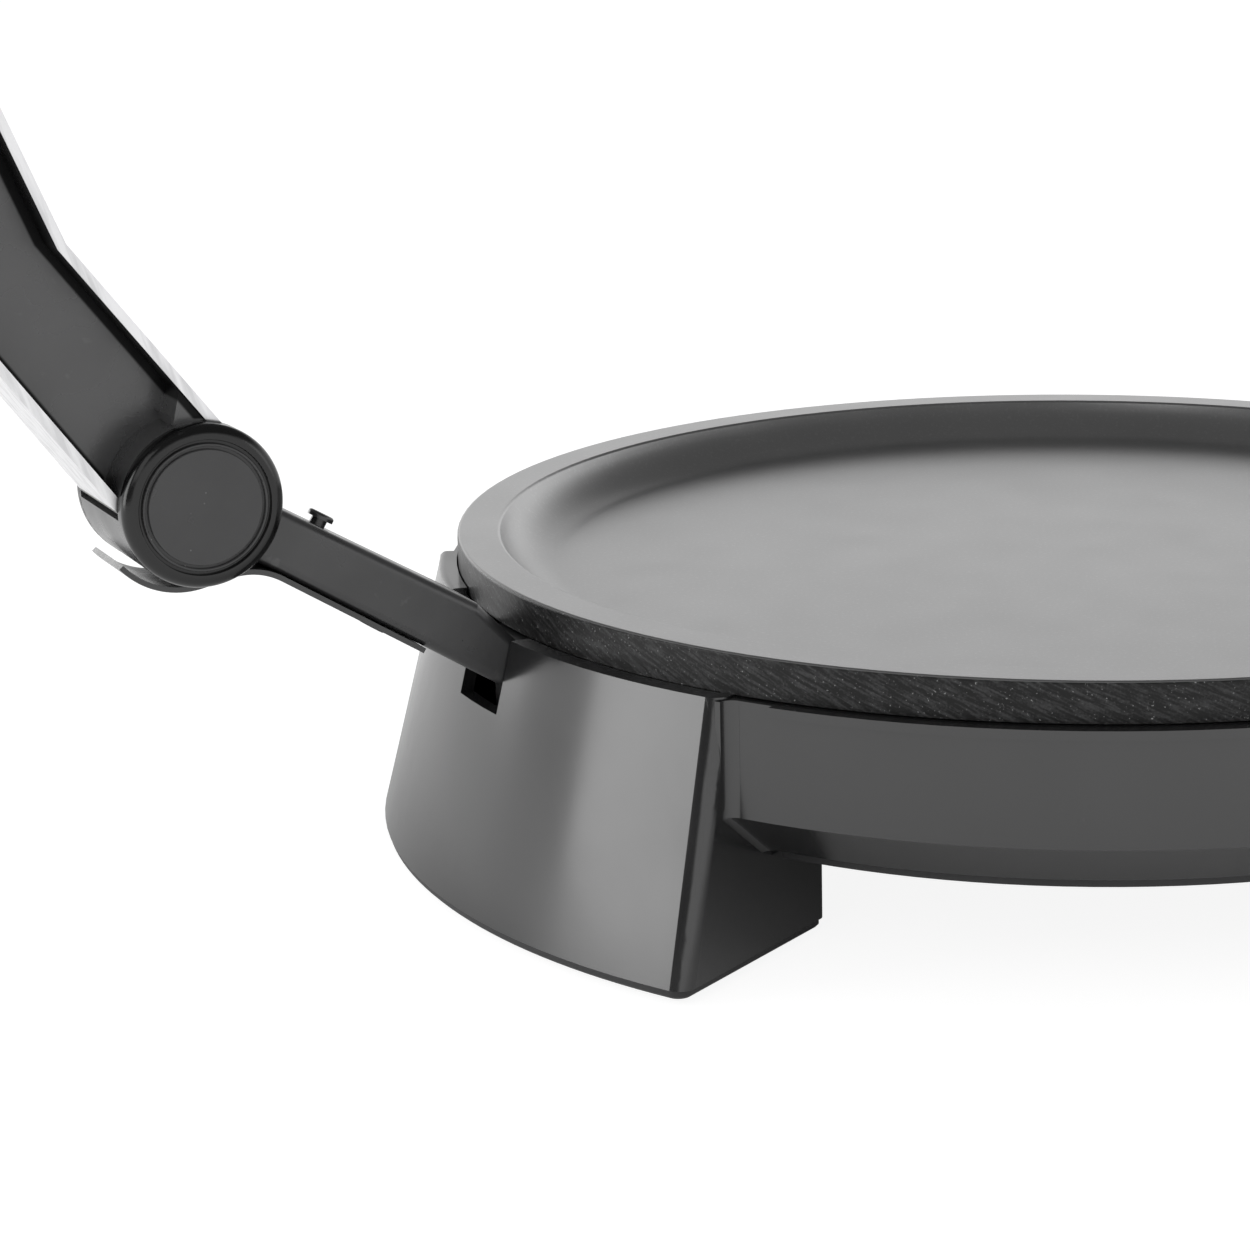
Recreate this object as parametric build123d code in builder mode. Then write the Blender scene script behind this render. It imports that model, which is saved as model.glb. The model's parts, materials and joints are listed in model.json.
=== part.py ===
from build123d import *
from math import cos, hypot, radians, sin, tan
import os

os.makedirs("parts", exist_ok=True)

# A table-top chapati maker, standing open. The origin is the centre of the cooking face of the
# lower plate, +Z is up, -X is towards the hinge and the handle closes down towards +X.

# Clearances
turning_gap = 0.05          # radial gap of a pin in the bore that turns on it
screw_gap = 0.2             # radial gap of a screw in a plain hole
passing_gap = 0.3           # gap between pieces that only pass each other
thread_gap = 0.02           # radial gap of a screw in its threaded hole

# Lower plate
plate_radius = 117.5
rim_width = 7.9
wall_run = 11.6             # how far the hollow wall runs in from the rim to the flat face
rim_height = 7.0            # rim above the cooking face
rim_band = 6.9              # height of the rough cast side of the rim
plate_floor = 5.0           # metal under the cooking face
rim_overhang = 5.5          # how far the rim reaches past the body that drops into the housing
plate_stud_radius = 2.5
plate_stud_inset = 22.0     # from the ring of tube in to the circle of the studs
plate_stud_count = 3
plate_stud_start = 30.0

# Base housing: the bowl
wall = 2.4
bowl_margin = 1.8           # how far the bowl wall stands out past the plate
lip_reach = 1.1
lip_height = 1.6
lip_clear = 4.0             # angle left without a lip beside the rear foot's near end
lip_far_clear = 14.0        # and beside its far end
bowl_bottom = -29.0
bevel_height = 9.0          # sloped band along the foot of the bowl wall
bevel_run = 11.6
bowl_ledge = 15.7           # flat bottom of the bowl, from the bevel to its round hole
post_inset = 19.5           # from the plate's edge to the circle of its screws
post_radius = 5.0
post_angles = (45, 135, 225, 315)
cover_boss_angles = (70, 110, 250, 290)
cover_boss_height = 8.0

# Base housing: the two feet
counter = -49.0             # height of the table top
foot_half_angle = 28.7
foot_depth = 17.7           # from the foot of the bevel in to the foot's inner wall
foot_reach = 1.9            # how far the top of the foot stands out past the bowl
foot_flare = 11.7           # and its bottom past its top
foot_corner_radius = 3.0
foot_inner_corner = 2.0
foot_root_radius = 2.2
foot_shelf = -5.0           # the skirt is thicker above this height, up to the plate
plate_stop_start = 153.5    # angles of the low rib on the rear foot that keeps the plate in place
plate_stop_sweep = 14.0
plate_stop_top = 1.5
plate_stop_rounding = 1.3
foot_cover_thickness = 1.6
foot_cover_inset = 0.4
foot_boss_radius = 4.0
foot_boss_inset = 9.9
foot_boss_angle = 12.0
foot_boss_height = 20.0
foot_screw_bite = 10.0       # how far the foot cover's screws reach into their bosses
notch_bottom = -12.6
notch_run = 26.0            # length of the cut for the notch, through skirt and wall

# Foot pads
pad_proud = 1.2
pad_radius = 8.0
pad_plug_radius = 3.0
pad_inset = 11.0            # from the foot's outer edge to the middle of a pad
pad_angle = 42.0

# Screws
screw_radius = 2.0
screw_head_radius = 3.8
screw_head_height = 2.4
plate_screw_length = 27.0
flat_head_height = 0.9
small_screw_radius = 1.5
small_head_radius = 2.8
small_head_height = 1.6

# Hinge line, parallel to Y
hinge_reach = 58.4          # from the plate's edge back to the hinge line
hinge_z = 31.4
open_angle = 108.0          # swing of the upper arm from closed to open
pin_radius = 4.0
barrel_radius = 13.5
barrel_bore_radius = 11.0
hub_radius = 9.5
washer_thickness = 0.5
washer_radius = 8.5
barrel_side = 3.0           # thickness of the barrel's side walls
cap_thickness = 2.8
cap_edge_radius = 2.0
cap_spigot_radius = 8.0
cap_spigot_length = 1.0
cap_groove_radii = (10.8, 9.8)
cap_groove_width = 0.5
cap_groove_depth = 0.6
cap_groove_rounding = 0.2

# Lower arm
arm_width = 15.2
arm_slope = 31.0
arm_top_offset = 4.8        # from the line through the hinge to the top face
arm_drop_near = 4.6         # the same to the underside, beside the barrel
arm_notch_gap = 1.9         # from the bottom of the notch up to the underside
arm_straight = 55.0         # length of the straight top edge
arm_drop_start = 10.0       # the underside is straight from here, measured from the hinge line
arm_root_inset = 1.1        # the root stands this far inside the bowl wall
arm_root_length = 19.7
arm_root_bottom = -35.0
arm_step_gap = 1.2          # from the plate's body to the step that clears it
arm_step_edge = 1.7         # from the plate's edge to the top of that step
arm_edge_radius = 1.8
arm_seat_thickness = 4.0
arm_seat_width = 24.0
arm_screw_depth = 11.0

# Guard strip
guard_thickness = 0.9
guard_gap = 0.1
guard_length = 49.5         # how far it runs down the arm from the hinge line
guard_wrap_radius = 14.0
guard_wrap_shift = 2.0      # its round end is centred this far from the hinge line
guard_shift_angle = 200.0
guard_wrap_end = 220.0      # angle of its free end
guard_wrap_start = 282.0
guard_bend_radius = 12.0
guard_screw_place = 42.0
guard_screw_length = 5.0
guard_head_radius = 2.3
guard_head_height = 0.3

# Stop stud on the lower arm
stud_position = 24.5
stud_head_radius = 2.3
stud_neck_radius = 1.4
stud_height = 2.2
stud_head_thickness = 1.0
stud_depth = 3.0

# Open stop, a nib on the hub that meets the edge of the barrel's shell
nib_radius = 13.0
nib_start = 226.5
nib_sweep = 18.0

# Upper arm, drawn closed: X runs forward from the hinge line, Y up from it
beam_width = 20.7
beam_web = 5.0
beam_flange = 1.6
beam_root_low = (6.35, -9.76)
beam_bend_low = (47.6, 4.8)
beam_root_high = (-1.8, 10.9)
beam_bend_high = (46.0, 26.5)
beam_end_inset = 4.5        # the beam ends this far inside the upper plate's front edge
beam_low_slope = 4.4
beam_high_slope = 2.7
slot_start = -5.0           # slot for the lower arm in the beam's root, along the closed arm
slot_reach = 26.0
slot_gap = 0.4
slot_low = 7.0
slot_edge = 1.0             # wall round the slot
cheek_depth = 1.0           # how far the slot's cheeks lie below the beam's sides
slot_angle = 75.0
slot_half_angle = 2.5
window_start = -3.0
window_sweep = 240.0
tang_length = 104.0
tang_height = 9.0
tang_width = 12.0
tang_slope = 3.5
beam_end_wall = 6.0

# Grip
grip_length = 116.0
grip_height = 25.0
grip_width = 28.0
grip_corner_radius = 7.0
grip_socket_play = 0.8      # room round the end of the beam inside the grip
grip_end_radius = 4.0
grip_screw_places = (34.0, 88.0)
grip_screw_length = 16.0
grip_screw_recess = 3.0

# Pivot under the arm that carries the lid
pivot_z = 8.0
pivot_radius = 3.0
pivot_lug_radius = 5.5
pivot_lug_width = 12.0
ear_thickness = 4.0
ear_gap = 0.4
clip_thickness = 1.0
clip_radius = 5.2
clip_bore_radius = 2.5
rock_rest = 1.0             # the lid leans this far past level when the arm is open

# Lid, with heights from the pivot
closed_gap = 3.0            # between the two cooking faces when closed
upper_plate_inset = 21.5    # the upper plate is this much smaller in radius than the lower
upper_plate_thickness = 5.0
upper_plate_edge = 1.5
cover_overhang = 1.5
cover_bend_run = 2.0
cover_bend_height = 5.0
cover_shoulder_run = 6.2
cover_shoulder_height = 17.0
cover_top_run = 6.0
cover_top = -10.0
cover_wall = 2.2
cover_post_inset = 19.0
cover_post_radius = 4.0
cover_post_angles = (45, 135, 225, 315)
bracket_length = 46.0
bracket_width = 40.0
bracket_thickness = 3.0
bracket_screw_x = 17.0
bracket_screw_y = 15.0
bracket_boss_height = 5.0
bracket_screw_length = 10.0
stop_lug_length = 4.0

# Heating elements and their shields
element_inset = 36.0        # the ring of tube is this much smaller in radius than the upper plate
element_tube_radius = 3.25
element_gap_angle = 40.0
element_drop = 9.0
element_bend = 6.0
terminal_radius = 1.5
terminal_length = 6.0
shield_margin = 8.0         # how far the shield reaches past the ring of tube
shield_thickness = 0.8
shield_depth = 11.0         # from the plate to the shield's inside
nut_radius = 4.6
nut_height = 4.0

# Small electrical pieces
thermostat_radius = 9.0
thermostat_can_radius = 6.5
thermostat_flange = 4.0
fuse_radius = 2.0
fuse_length = 24.0
fuse_place = 24.0           # from the plate's centre
fuse_gap = 0.1
fuse_lead_radius = 0.5
fuse_lead_length = 5.0
fuse_clip_thickness = 0.5
fuse_clip_length = 6.0
fuse_clip_half_width = 8.0
fuse_screw_place = 5.5
terminal_block_size = (34.0, 18.0, 10.0)
terminal_screw_spacing = 26.0
terminal_block_x = 47.0
lamp_radius = 3.5
lamp_length = 14.0
lamp_proud = 1.0
lamp_height = -22.0
lamp_angle = 6.0
lamp_hole_gap = 0.1
bush_radius = 3.2
bush_flange_radius = 6.5
bush_flange_thickness = 1.5
bush_length = 8.0
bush_bore_radius = 2.2
bush_barb = 0.9
bush_place = 22.0           # from the foot's inner wall
bush_height = -35.0
cover_thickness = 2.0
vent_length = 22.0
vent_width = 3.0
vent_circle = 72.0
vent_count = 16

# Radii, heights and places worked out from these
rim_inner_radius = plate_radius - rim_width
face_radius = rim_inner_radius - wall_run
plate_body_radius = plate_radius - rim_overhang
bowl_radius = plate_radius + bowl_margin
lip_radius = bowl_radius + lip_reach
bowl_bottom_radius = bowl_radius - bevel_run
bowl_hole_radius = bowl_bottom_radius - bowl_ledge
post_circle = plate_radius - post_inset
foot_inner_radius = bowl_bottom_radius - foot_depth
foot_top_radius = bowl_radius + foot_reach
foot_bottom_radius = foot_top_radius + foot_flare
foot_boss_circle = foot_bottom_radius - foot_boss_inset
pad_circle = foot_bottom_radius - pad_inset
hinge_x = -(plate_radius + hinge_reach)
pivot_x = -hinge_x
arm_step_front = -(plate_body_radius + arm_step_gap)
arm_root_back = arm_root_inset - bowl_radius
arm_root_front = arm_root_back + arm_root_length
upper_plate_radius = plate_radius - upper_plate_inset
cover_bottom_radius = upper_plate_radius + cover_overhang
cover_bend_radius = cover_bottom_radius - cover_bend_run
cover_shoulder_radius = cover_bend_radius - cover_shoulder_run
cover_top_radius = cover_shoulder_radius - cover_top_run
cover_post_circle = upper_plate_radius - cover_post_inset
element_radius = upper_plate_radius - element_inset
shield_radius = element_radius + shield_margin
plate_stud_circle = element_radius - plate_stud_inset
beam_end = pivot_x + upper_plate_radius - beam_end_inset
rim_underside = rim_height - rim_band
wall_top = rim_underside - passing_gap
arm_step_top = rim_underside - 2 * passing_gap
plate_underside = -plate_floor
bevel_top = bowl_bottom + bevel_height
bowl_floor_top = bowl_bottom + wall - 0.2
foot_cover_bottom = counter + pad_proud
housing_bottom = foot_cover_bottom + foot_cover_thickness
notch_half_width = arm_width / 2 + passing_gap
barrel_half_inside = arm_width / 2 + washer_thickness + 2 * turning_gap
barrel_half_width = barrel_half_inside + barrel_side
rear = 180.0
front = 0.0


def spoke(plane, angle):
    """Plane through another plane's Z axis: its X points out at this angle, its Y along that Z."""
    out = plane.x_dir * cos(radians(angle)) + plane.y_dir * sin(radians(angle))
    return Plane(origin=plane.origin, x_dir=out, z_dir=out.cross(plane.z_dir))


def upright(angle):
    """Plane through the Z axis: its X points out at this angle, its Y points up."""
    return spoke(Plane.XY, angle)


def polar(radius, angle, height=0):
    """Point at this radius and angle round the Z axis."""
    return Vector(radius * cos(radians(angle)), radius * sin(radians(angle)), height)


def ring_sector(inner, outer, angle, half_angle, mode=Mode.ADD):
    """Face between two radii, on both sides of one angle, in the sketch that is open."""
    with BuildLine() as outline:
        outer_arc = CenterArc((0, 0), outer, angle - half_angle, 2 * half_angle)
        inner_arc = CenterArc((0, 0), inner, angle - half_angle, 2 * half_angle)
        Line(inner_arc @ 0, outer_arc @ 0)
        Line(inner_arc @ 1, outer_arc @ 1)
    make_face(outline.edges(), mode=mode)


def foot_radius(height):
    """Outer radius of the foot's cone at a height."""
    share = (rim_underside - height) / (rim_underside - housing_bottom)
    return foot_top_radius + (foot_bottom_radius - foot_top_radius) * share


def beside_arm(near, far, low, high, mode=Mode.ADD):
    """Rectangle in the open sketch of the upper arm, set along the lower arm as it lies when closed."""
    with Locations(Location((0, 0, 0), (0, 0, -arm_slope))):
        with Locations(((near + far) / 2, (low + high) / 2)):
            Rectangle(far - near, high - low, mode=mode)


def along_arm(distance, offset):
    """Point in the XZ plane, down the lower arm from the hinge line and square off it."""
    slope = radians(arm_slope)
    x = hinge_x + distance * cos(slope) + offset * sin(slope)
    z = hinge_z - distance * sin(slope) + offset * cos(slope)
    return (x, z)


def arm_underside(distance):
    """Point on the underside of the lower arm, which runs straight into the notch."""
    near = Vector(*along_arm(arm_drop_start, -arm_drop_near))
    at_notch = Vector(arm_root_back, notch_bottom + arm_notch_gap)
    point = near + (at_notch - near).normalized() * (distance - arm_drop_start)
    return (point.X, point.Y)


# Vertical plane of symmetry, looking along +Y: X is X, Y is Z
middle = Plane.XZ
# The same plane carried by the upper arm, with its origin on the hinge line
swing = radians(open_angle)
arm_plane = Plane(
    origin=(hinge_x, 0, hinge_z), x_dir=(cos(swing), 0, sin(swing)), z_dir=(0, -1, 0)
)
# Lid frame: origin at the pivot, X forward, Z up through the lid when it is closed
lean = radians(open_angle - rock_rest)
lid_origin = arm_plane.from_local_coords((pivot_x, pivot_z, 0))
lid_plane = Plane(
    origin=lid_origin, x_dir=(cos(lean), 0, sin(lean)), z_dir=(-sin(lean), 0, cos(lean))
)
lid_side = Plane(
    origin=lid_origin, x_dir=(cos(lean), 0, sin(lean)), z_dir=(0, -1, 0)
)
lid_axis = Axis(lid_origin, lid_plane.z_dir)
stud_plane = Plane(
    origin=(along_arm(stud_position, arm_top_offset)[0], 0, along_arm(stud_position, arm_top_offset)[1]),
    x_dir=(cos(radians(arm_slope)), 0, -sin(radians(arm_slope))),
    z_dir=(sin(radians(arm_slope)), 0, cos(radians(arm_slope))),
)
# Where the guard strip's centre line runs: under the arm, to a corner, and onto the barrel
guard_below = guard_gap + guard_thickness / 2
hinge_centre = Vector(hinge_x, hinge_z)
guard_sink = hinge_centre - Vector(*along_arm(0, guard_below))
guard_start = Vector(*arm_underside(guard_length)) + guard_sink
guard_near = Vector(*arm_underside(arm_drop_start)) + guard_sink
guard_wrap_centre = hinge_centre + polar(guard_wrap_shift, guard_shift_angle)
guard_wrap_point = guard_wrap_centre + polar(guard_wrap_radius, guard_wrap_start)
guard_run = (guard_near - guard_start).normalized()
guard_tangent = polar(1, guard_wrap_start + 90)
guard_corner = guard_start + guard_run * (
    (guard_wrap_point - guard_start).cross(guard_tangent).Z / guard_run.cross(guard_tangent).Z
)
guard_screw_plane = Plane(
    origin=(arm_underside(guard_screw_place)[0], 0, arm_underside(guard_screw_place)[1]),
    x_dir=(-guard_run.X, 0, -guard_run.Y), z_dir=(guard_run.Y, 0, -guard_run.X),
)
# Heights of the bracket's stops, just under the beam at each end of the lid's rocking
under_beam = beam_bend_low[1] + (pivot_x - beam_bend_low[0]) * tan(radians(beam_low_slope)) - pivot_z
stop_rise = tan(radians(beam_low_slope)) - tan(radians(rock_rest))
front_stop_height = under_beam + (bracket_length / 2 - stop_lug_length) * stop_rise - 0.1
rear_stop_height = (
    under_beam - bracket_length / 2 * (tan(radians(beam_low_slope)) + tan(radians(rock_rest))) - 0.1
)
upper_underside = closed_gap - (hinge_z + pivot_z)
upper_top = upper_underside + upper_plate_thickness
# Planes on the back of each cooking plate, with Z away from the plate
lower_back = Plane(origin=(0, 0, plate_underside), x_dir=(1, 0, 0), z_dir=(0, 0, -1))
upper_back = lid_plane.offset(upper_top)


def save(piece, label):
    """Label a finished piece and write its STEP file."""
    piece.part.label = label
    export_step(piece.part, "parts/" + label + ".step")


# Lower plate: a heavy casting with a flat rim, a hollow wall and a flat floor
with BuildPart() as lower_plate:
    with BuildSketch(middle):
        with BuildLine():
            Line((0, 0), (face_radius, 0))
            ThreePointArc((face_radius, 0), (rim_inner_radius - 3.2, 2.6), (rim_inner_radius, rim_height))
            Polyline(
                (rim_inner_radius, rim_height),
                (plate_radius, rim_height),
                (plate_radius, rim_underside),
                (plate_body_radius, rim_underside),
                (plate_body_radius, plate_underside),
                (0, plate_underside),
                (0, 0),
            )
        make_face()
    revolve(axis=Axis.Z)
    rim_edges = lower_plate.edges().filter_by(GeomType.CIRCLE).group_by(Axis.Z)[-1]
    fillet(rim_edges, radius=0.6)
    with BuildSketch(lower_back):
        with PolarLocations(plate_stud_circle, plate_stud_count, start_angle=plate_stud_start):
            Circle(plate_stud_radius)
    extrude(amount=shield_depth + shield_thickness + nut_height)
    with BuildSketch(Plane.XY.offset(plate_underside)):
        with PolarLocations(post_circle, len(post_angles), start_angle=post_angles[0]):
            Circle(screw_radius + thread_gap)
    extrude(amount=plate_floor - 1.5, mode=Mode.SUBTRACT)
    with BuildSketch(Plane.XY.offset(plate_underside)):
        with Locations((0, -fuse_place - fuse_screw_place)):
            Circle(small_screw_radius + thread_gap)
    extrude(amount=3, mode=Mode.SUBTRACT)
save(lower_plate, "lower_plate")


def foot_block(angle):
    """Outer block of one foot, from the bowl out to its sloping skirt."""
    inner_wall = bowl_radius - wall
    with BuildPart() as block:
        with BuildSketch(upright(angle - foot_half_angle)):
            Polygon(
                (foot_inner_radius, housing_bottom),
                (foot_bottom_radius, housing_bottom),
                (foot_top_radius, rim_underside),
                (inner_wall, rim_underside),
                (inner_wall, bevel_top),
                (bowl_bottom_radius - 1, bowl_floor_top),
                (foot_inner_radius, bowl_floor_top),
                align=None,
            )
        revolve(axis=Axis.Z, revolution_arc=2 * foot_half_angle)
        slant = hypot(foot_flare, rim_underside - housing_bottom)
        corners = block.edges().filter_by(GeomType.LINE).filter_by(lambda e: abs(e.length - slant) < 0.01)
        fillet(corners, radius=foot_corner_radius)
        inner_edges = block.edges().filter_by(Axis.Z).sort_by(lambda e: hypot(e.center().X, e.center().Y))
        fillet(inner_edges[:2], radius=foot_inner_corner)
    return block.part


def foot_hollow(angle):
    """Space inside one foot, open below and up to the plate."""
    skirt = wall * 1.03
    half = foot_half_angle - 1.25
    with BuildPart() as hollow:
        with BuildSketch(upright(angle - half)):
            Polygon(
                (foot_inner_radius + wall, housing_bottom - 1),
                (foot_radius(housing_bottom - 1) - skirt, housing_bottom - 1),
                (foot_radius(foot_shelf) - skirt, foot_shelf),
                (plate_radius + passing_gap, foot_shelf),
                (plate_radius + passing_gap, rim_underside + 1),
                (foot_inner_radius + wall, rim_underside + 1),
                align=None,
            )
        revolve(axis=Axis.Z, revolution_arc=2 * half)
    return hollow.part


def foot_root(angle, side):
    """Hollow-rounded filling of the corner between a foot's end face and the bowl wall."""
    corner = polar(bowl_radius, angle, bevel_top)
    along_bevel = polar(-bevel_run, angle, -bevel_height)
    with BuildPart() as root:
        with BuildSketch(Plane(corner, x_dir=polar(1, angle), z_dir=(0, 0, 1))) as corner_piece:
            with Locations((foot_root_radius / 2 - 0.5, side * (foot_root_radius / 2 - 0.5))):
                Rectangle(foot_root_radius + 1, foot_root_radius + 1)
            with Locations((foot_root_radius, side * foot_root_radius)):
                Circle(foot_root_radius, mode=Mode.SUBTRACT)
        extrude(amount=wall_top - bevel_top)
        extrude(corner_piece.sketch, amount=along_bevel.length, dir=along_bevel)
    return root.part


# Base housing: one moulding of bowl, feet, posts and the seat of the arm
with BuildPart() as base_housing:
    with BuildSketch(middle):
        Polygon(
            (bowl_hole_radius, bowl_bottom),
            (bowl_bottom_radius, bowl_bottom),
            (bowl_radius, bevel_top),
            (bowl_radius, wall_top),
            (bowl_radius - wall, wall_top),
            (bowl_radius - wall, bevel_top + 1),
            (bowl_bottom_radius - 1, bowl_floor_top),
            (bowl_hole_radius, bowl_floor_top),
            align=None,
        )
    revolve(axis=Axis.Z)
    # lip round the wall, except beside the rear foot
    with BuildSketch(upright(rear + foot_half_angle + lip_clear)):
        Polygon(
            (bowl_radius - wall / 2, wall_top - lip_height),
            (lip_radius, wall_top - lip_height),
            (lip_radius, wall_top),
            (bowl_radius - wall / 2, wall_top),
            align=None,
        )
    revolve(axis=Axis.Z, revolution_arc=360 - 2 * foot_half_angle - lip_clear - lip_far_clear)
    add(foot_block(rear))
    add(foot_block(front))
    add(foot_hollow(rear), mode=Mode.SUBTRACT)
    add(foot_hollow(front), mode=Mode.SUBTRACT)
    for middle_angle in (rear, front):
        for side in (-1, 1):
            add(foot_root(middle_angle + side * foot_half_angle, side))
    # rib on top of the rear foot, beside the plate's rim
    with BuildSketch(upright(plate_stop_start)) as plate_stop:
        Polygon(
            (plate_radius + passing_gap, rim_underside - wall / 2),
            (foot_top_radius, rim_underside - wall / 2),
            (foot_top_radius, plate_stop_top),
            (plate_radius + passing_gap, plate_stop_top),
            align=None,
        )
        fillet(plate_stop.vertices().group_by(Axis.Y)[-1].sort_by(Axis.X)[-1], radius=plate_stop_rounding)
    revolve(axis=Axis.Z, revolution_arc=plate_stop_sweep)
    with BuildSketch(Plane.XY.offset(bowl_floor_top - 0.5)):
        for angle in post_angles:
            with Locations(polar(post_circle, angle)):
                Circle(post_radius)
    extrude(amount=plate_underside - bowl_floor_top + 0.5)
    with BuildSketch(Plane.XY.offset(bowl_floor_top - 0.5)):
        for angle in cover_boss_angles:
            with Locations(polar(post_circle, angle)):
                Circle(post_radius)
    extrude(amount=cover_boss_height)
    # bores of the posts and of the cover bosses
    with BuildSketch(Plane.XY.offset(bowl_bottom)):
        for angle in post_angles:
            with Locations(polar(post_circle, angle)):
                Circle(screw_radius + screw_gap)
    extrude(amount=plate_underside - bowl_bottom, mode=Mode.SUBTRACT)
    with BuildSketch(Plane.XY.offset(bowl_bottom)):
        for angle in cover_boss_angles:
            with Locations(polar(post_circle, angle)):
                Circle(small_screw_radius + thread_gap)
    extrude(amount=cover_boss_height, mode=Mode.SUBTRACT)
    # seat of the lower arm, on the inner wall of the rear foot
    with BuildSketch(Plane.XY.offset(arm_root_bottom - arm_seat_thickness)):
        with Locations(((arm_root_back - foot_inner_radius - 1.5) / 2, 0)):
            Rectangle(-arm_root_back - foot_inner_radius + 1, arm_seat_width)
    extrude(amount=arm_seat_thickness)
    # bosses for the screws of the foot covers, grown out of the skirt
    with BuildSketch(Plane.XY.offset(housing_bottom)):
        for middle_angle in (rear, front):
            for side in (-1, 1):
                with Locations(polar(foot_boss_circle, middle_angle + side * foot_boss_angle)):
                    Circle(foot_boss_radius)
    extrude(amount=foot_boss_height)
    with BuildSketch(Plane.XY.offset(housing_bottom)):
        for middle_angle in (rear, front):
            for side in (-1, 1):
                with Locations(polar(foot_boss_circle, middle_angle + side * foot_boss_angle)):
                    Circle(small_screw_radius + thread_gap)
    extrude(amount=foot_boss_height - 6, mode=Mode.SUBTRACT)
    # notch in the rear skirt for the lower arm
    with BuildSketch(Plane.XY.offset(notch_bottom)):
        with Locations((-(foot_top_radius + 2), 0)):
            Rectangle(notch_run, 2 * notch_half_width)
    extrude(amount=rim_height - notch_bottom, mode=Mode.SUBTRACT)
    # screw holes in the arm's seat
    with BuildSketch(Plane.XY.offset(arm_root_bottom)):
        with Locations(((arm_root_front + arm_root_back) / 2, 0)):
            with GridLocations(0, arm_width / 2, 1, 2):
                Circle(small_screw_radius + screw_gap)
    extrude(amount=-arm_seat_thickness, mode=Mode.SUBTRACT)
    # lamp holes in the front skirt and the cord hole in the rear foot's far end
    for side in (-1, 1):
        with BuildSketch(Plane(polar(foot_inner_radius + 20, side * lamp_angle, lamp_height),
                               x_dir=(0, 0, 1), z_dir=polar(1, side * lamp_angle))):
            Circle(lamp_radius + lamp_hole_gap)
        extrude(amount=30, mode=Mode.SUBTRACT)
    cord_face = upright(rear - foot_half_angle)
    with BuildSketch(cord_face):
        with Locations((foot_inner_radius + bush_place, bush_height)):
            Circle(bush_radius + 0.1)
    extrude(amount=10, both=True, mode=Mode.SUBTRACT)
save(base_housing, "base_housing")


# Bottom cover: a dished plate under the bowl, cut back round the feet, with vents and screw holes
with BuildPart() as base_bottom_cover:
    with BuildSketch(Plane.XY.offset(bowl_bottom)):
        Circle(bowl_bottom_radius - wall)
        for angle in (rear, front):
            ring_sector(foot_inner_radius - passing_gap, bowl_bottom_radius + wall, angle,
                        foot_half_angle + 0.6, mode=Mode.SUBTRACT)
        for angle in post_angles:
            with Locations(polar(post_circle, angle)):
                Circle(screw_head_radius + 1, mode=Mode.SUBTRACT)
        for angle in cover_boss_angles:
            with Locations(polar(post_circle, angle)):
                Circle(small_screw_radius + screw_gap, mode=Mode.SUBTRACT)
        with PolarLocations(vent_circle, vent_count, start_angle=180 / vent_count):
            SlotOverall(vent_length, vent_width, mode=Mode.SUBTRACT)
        with Locations((terminal_block_x, 0)):
            with GridLocations(terminal_screw_spacing, 1, 2, 1):
                Circle(small_screw_radius + screw_gap, mode=Mode.SUBTRACT)
    extrude(amount=-cover_thickness)
save(base_bottom_cover, "base_bottom_cover")


def screw_set(places, radius, length, head_radius, head_height, plane):
    """Screws as separate solids: shanks along the plane's normal, heads on the other side of it."""
    with BuildPart() as screws:
        with BuildSketch(plane):
            with Locations(*places):
                Circle(radius)
        extrude(amount=length)
        with BuildSketch(plane):
            with Locations(*places):
                Circle(head_radius)
        extrude(amount=-head_height)
        # cross recess in each head
        with BuildSketch(plane.offset(-head_height)):
            with Locations(*places):
                Rectangle(head_radius * 1.1, head_radius * 0.26)
                Rectangle(head_radius * 0.26, head_radius * 1.1)
        extrude(amount=head_height * 0.5, mode=Mode.SUBTRACT)
    return screws


plate_screws = screw_set(
    [polar(post_circle, angle) for angle in post_angles],
    screw_radius, plate_screw_length,
    screw_head_radius, screw_head_height, Plane.XY.offset(bowl_bottom),
)
save(plate_screws, "lower_plate_screws")

bottom_cover_screws = screw_set(
    [polar(post_circle, angle) for angle in cover_boss_angles],
    small_screw_radius, cover_boss_height,
    small_head_radius, small_head_height, Plane.XY.offset(bowl_bottom - cover_thickness),
)
save(bottom_cover_screws, "bottom_cover_screws")


def foot_cover(angle):
    """Flat cover that closes the underside of one foot."""
    half = foot_half_angle - 0.3
    with BuildPart() as cover:
        with BuildSketch(Plane.XY.offset(foot_cover_bottom)):
            ring_sector(foot_inner_radius + foot_cover_inset, foot_bottom_radius - foot_cover_inset,
                        angle, half)
        extrude(amount=foot_cover_thickness)
        corners = cover.edges().filter_by(Axis.Z).sort_by(lambda e: hypot(e.center().X, e.center().Y))
        fillet(corners[-2:], radius=foot_corner_radius - foot_cover_inset)
        fillet(corners[:2], radius=foot_inner_corner)
        chamfer(cover.faces().sort_by(Axis.Z)[0].outer_wire().edges(), length=0.5)
        with BuildSketch(Plane.XY.offset(foot_cover_bottom)):
            for side in (-1, 1):
                with Locations(polar(foot_boss_circle, angle + side * foot_boss_angle)):
                    Circle(small_screw_radius + screw_gap)
                with Locations(polar(pad_circle, angle + side * pad_angle / 2)):
                    Circle(pad_plug_radius + 0.05)
        extrude(amount=foot_cover_thickness, mode=Mode.SUBTRACT)
    return cover


save(foot_cover(rear), "rear_foot_cover")
save(foot_cover(front), "front_foot_cover")

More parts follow.
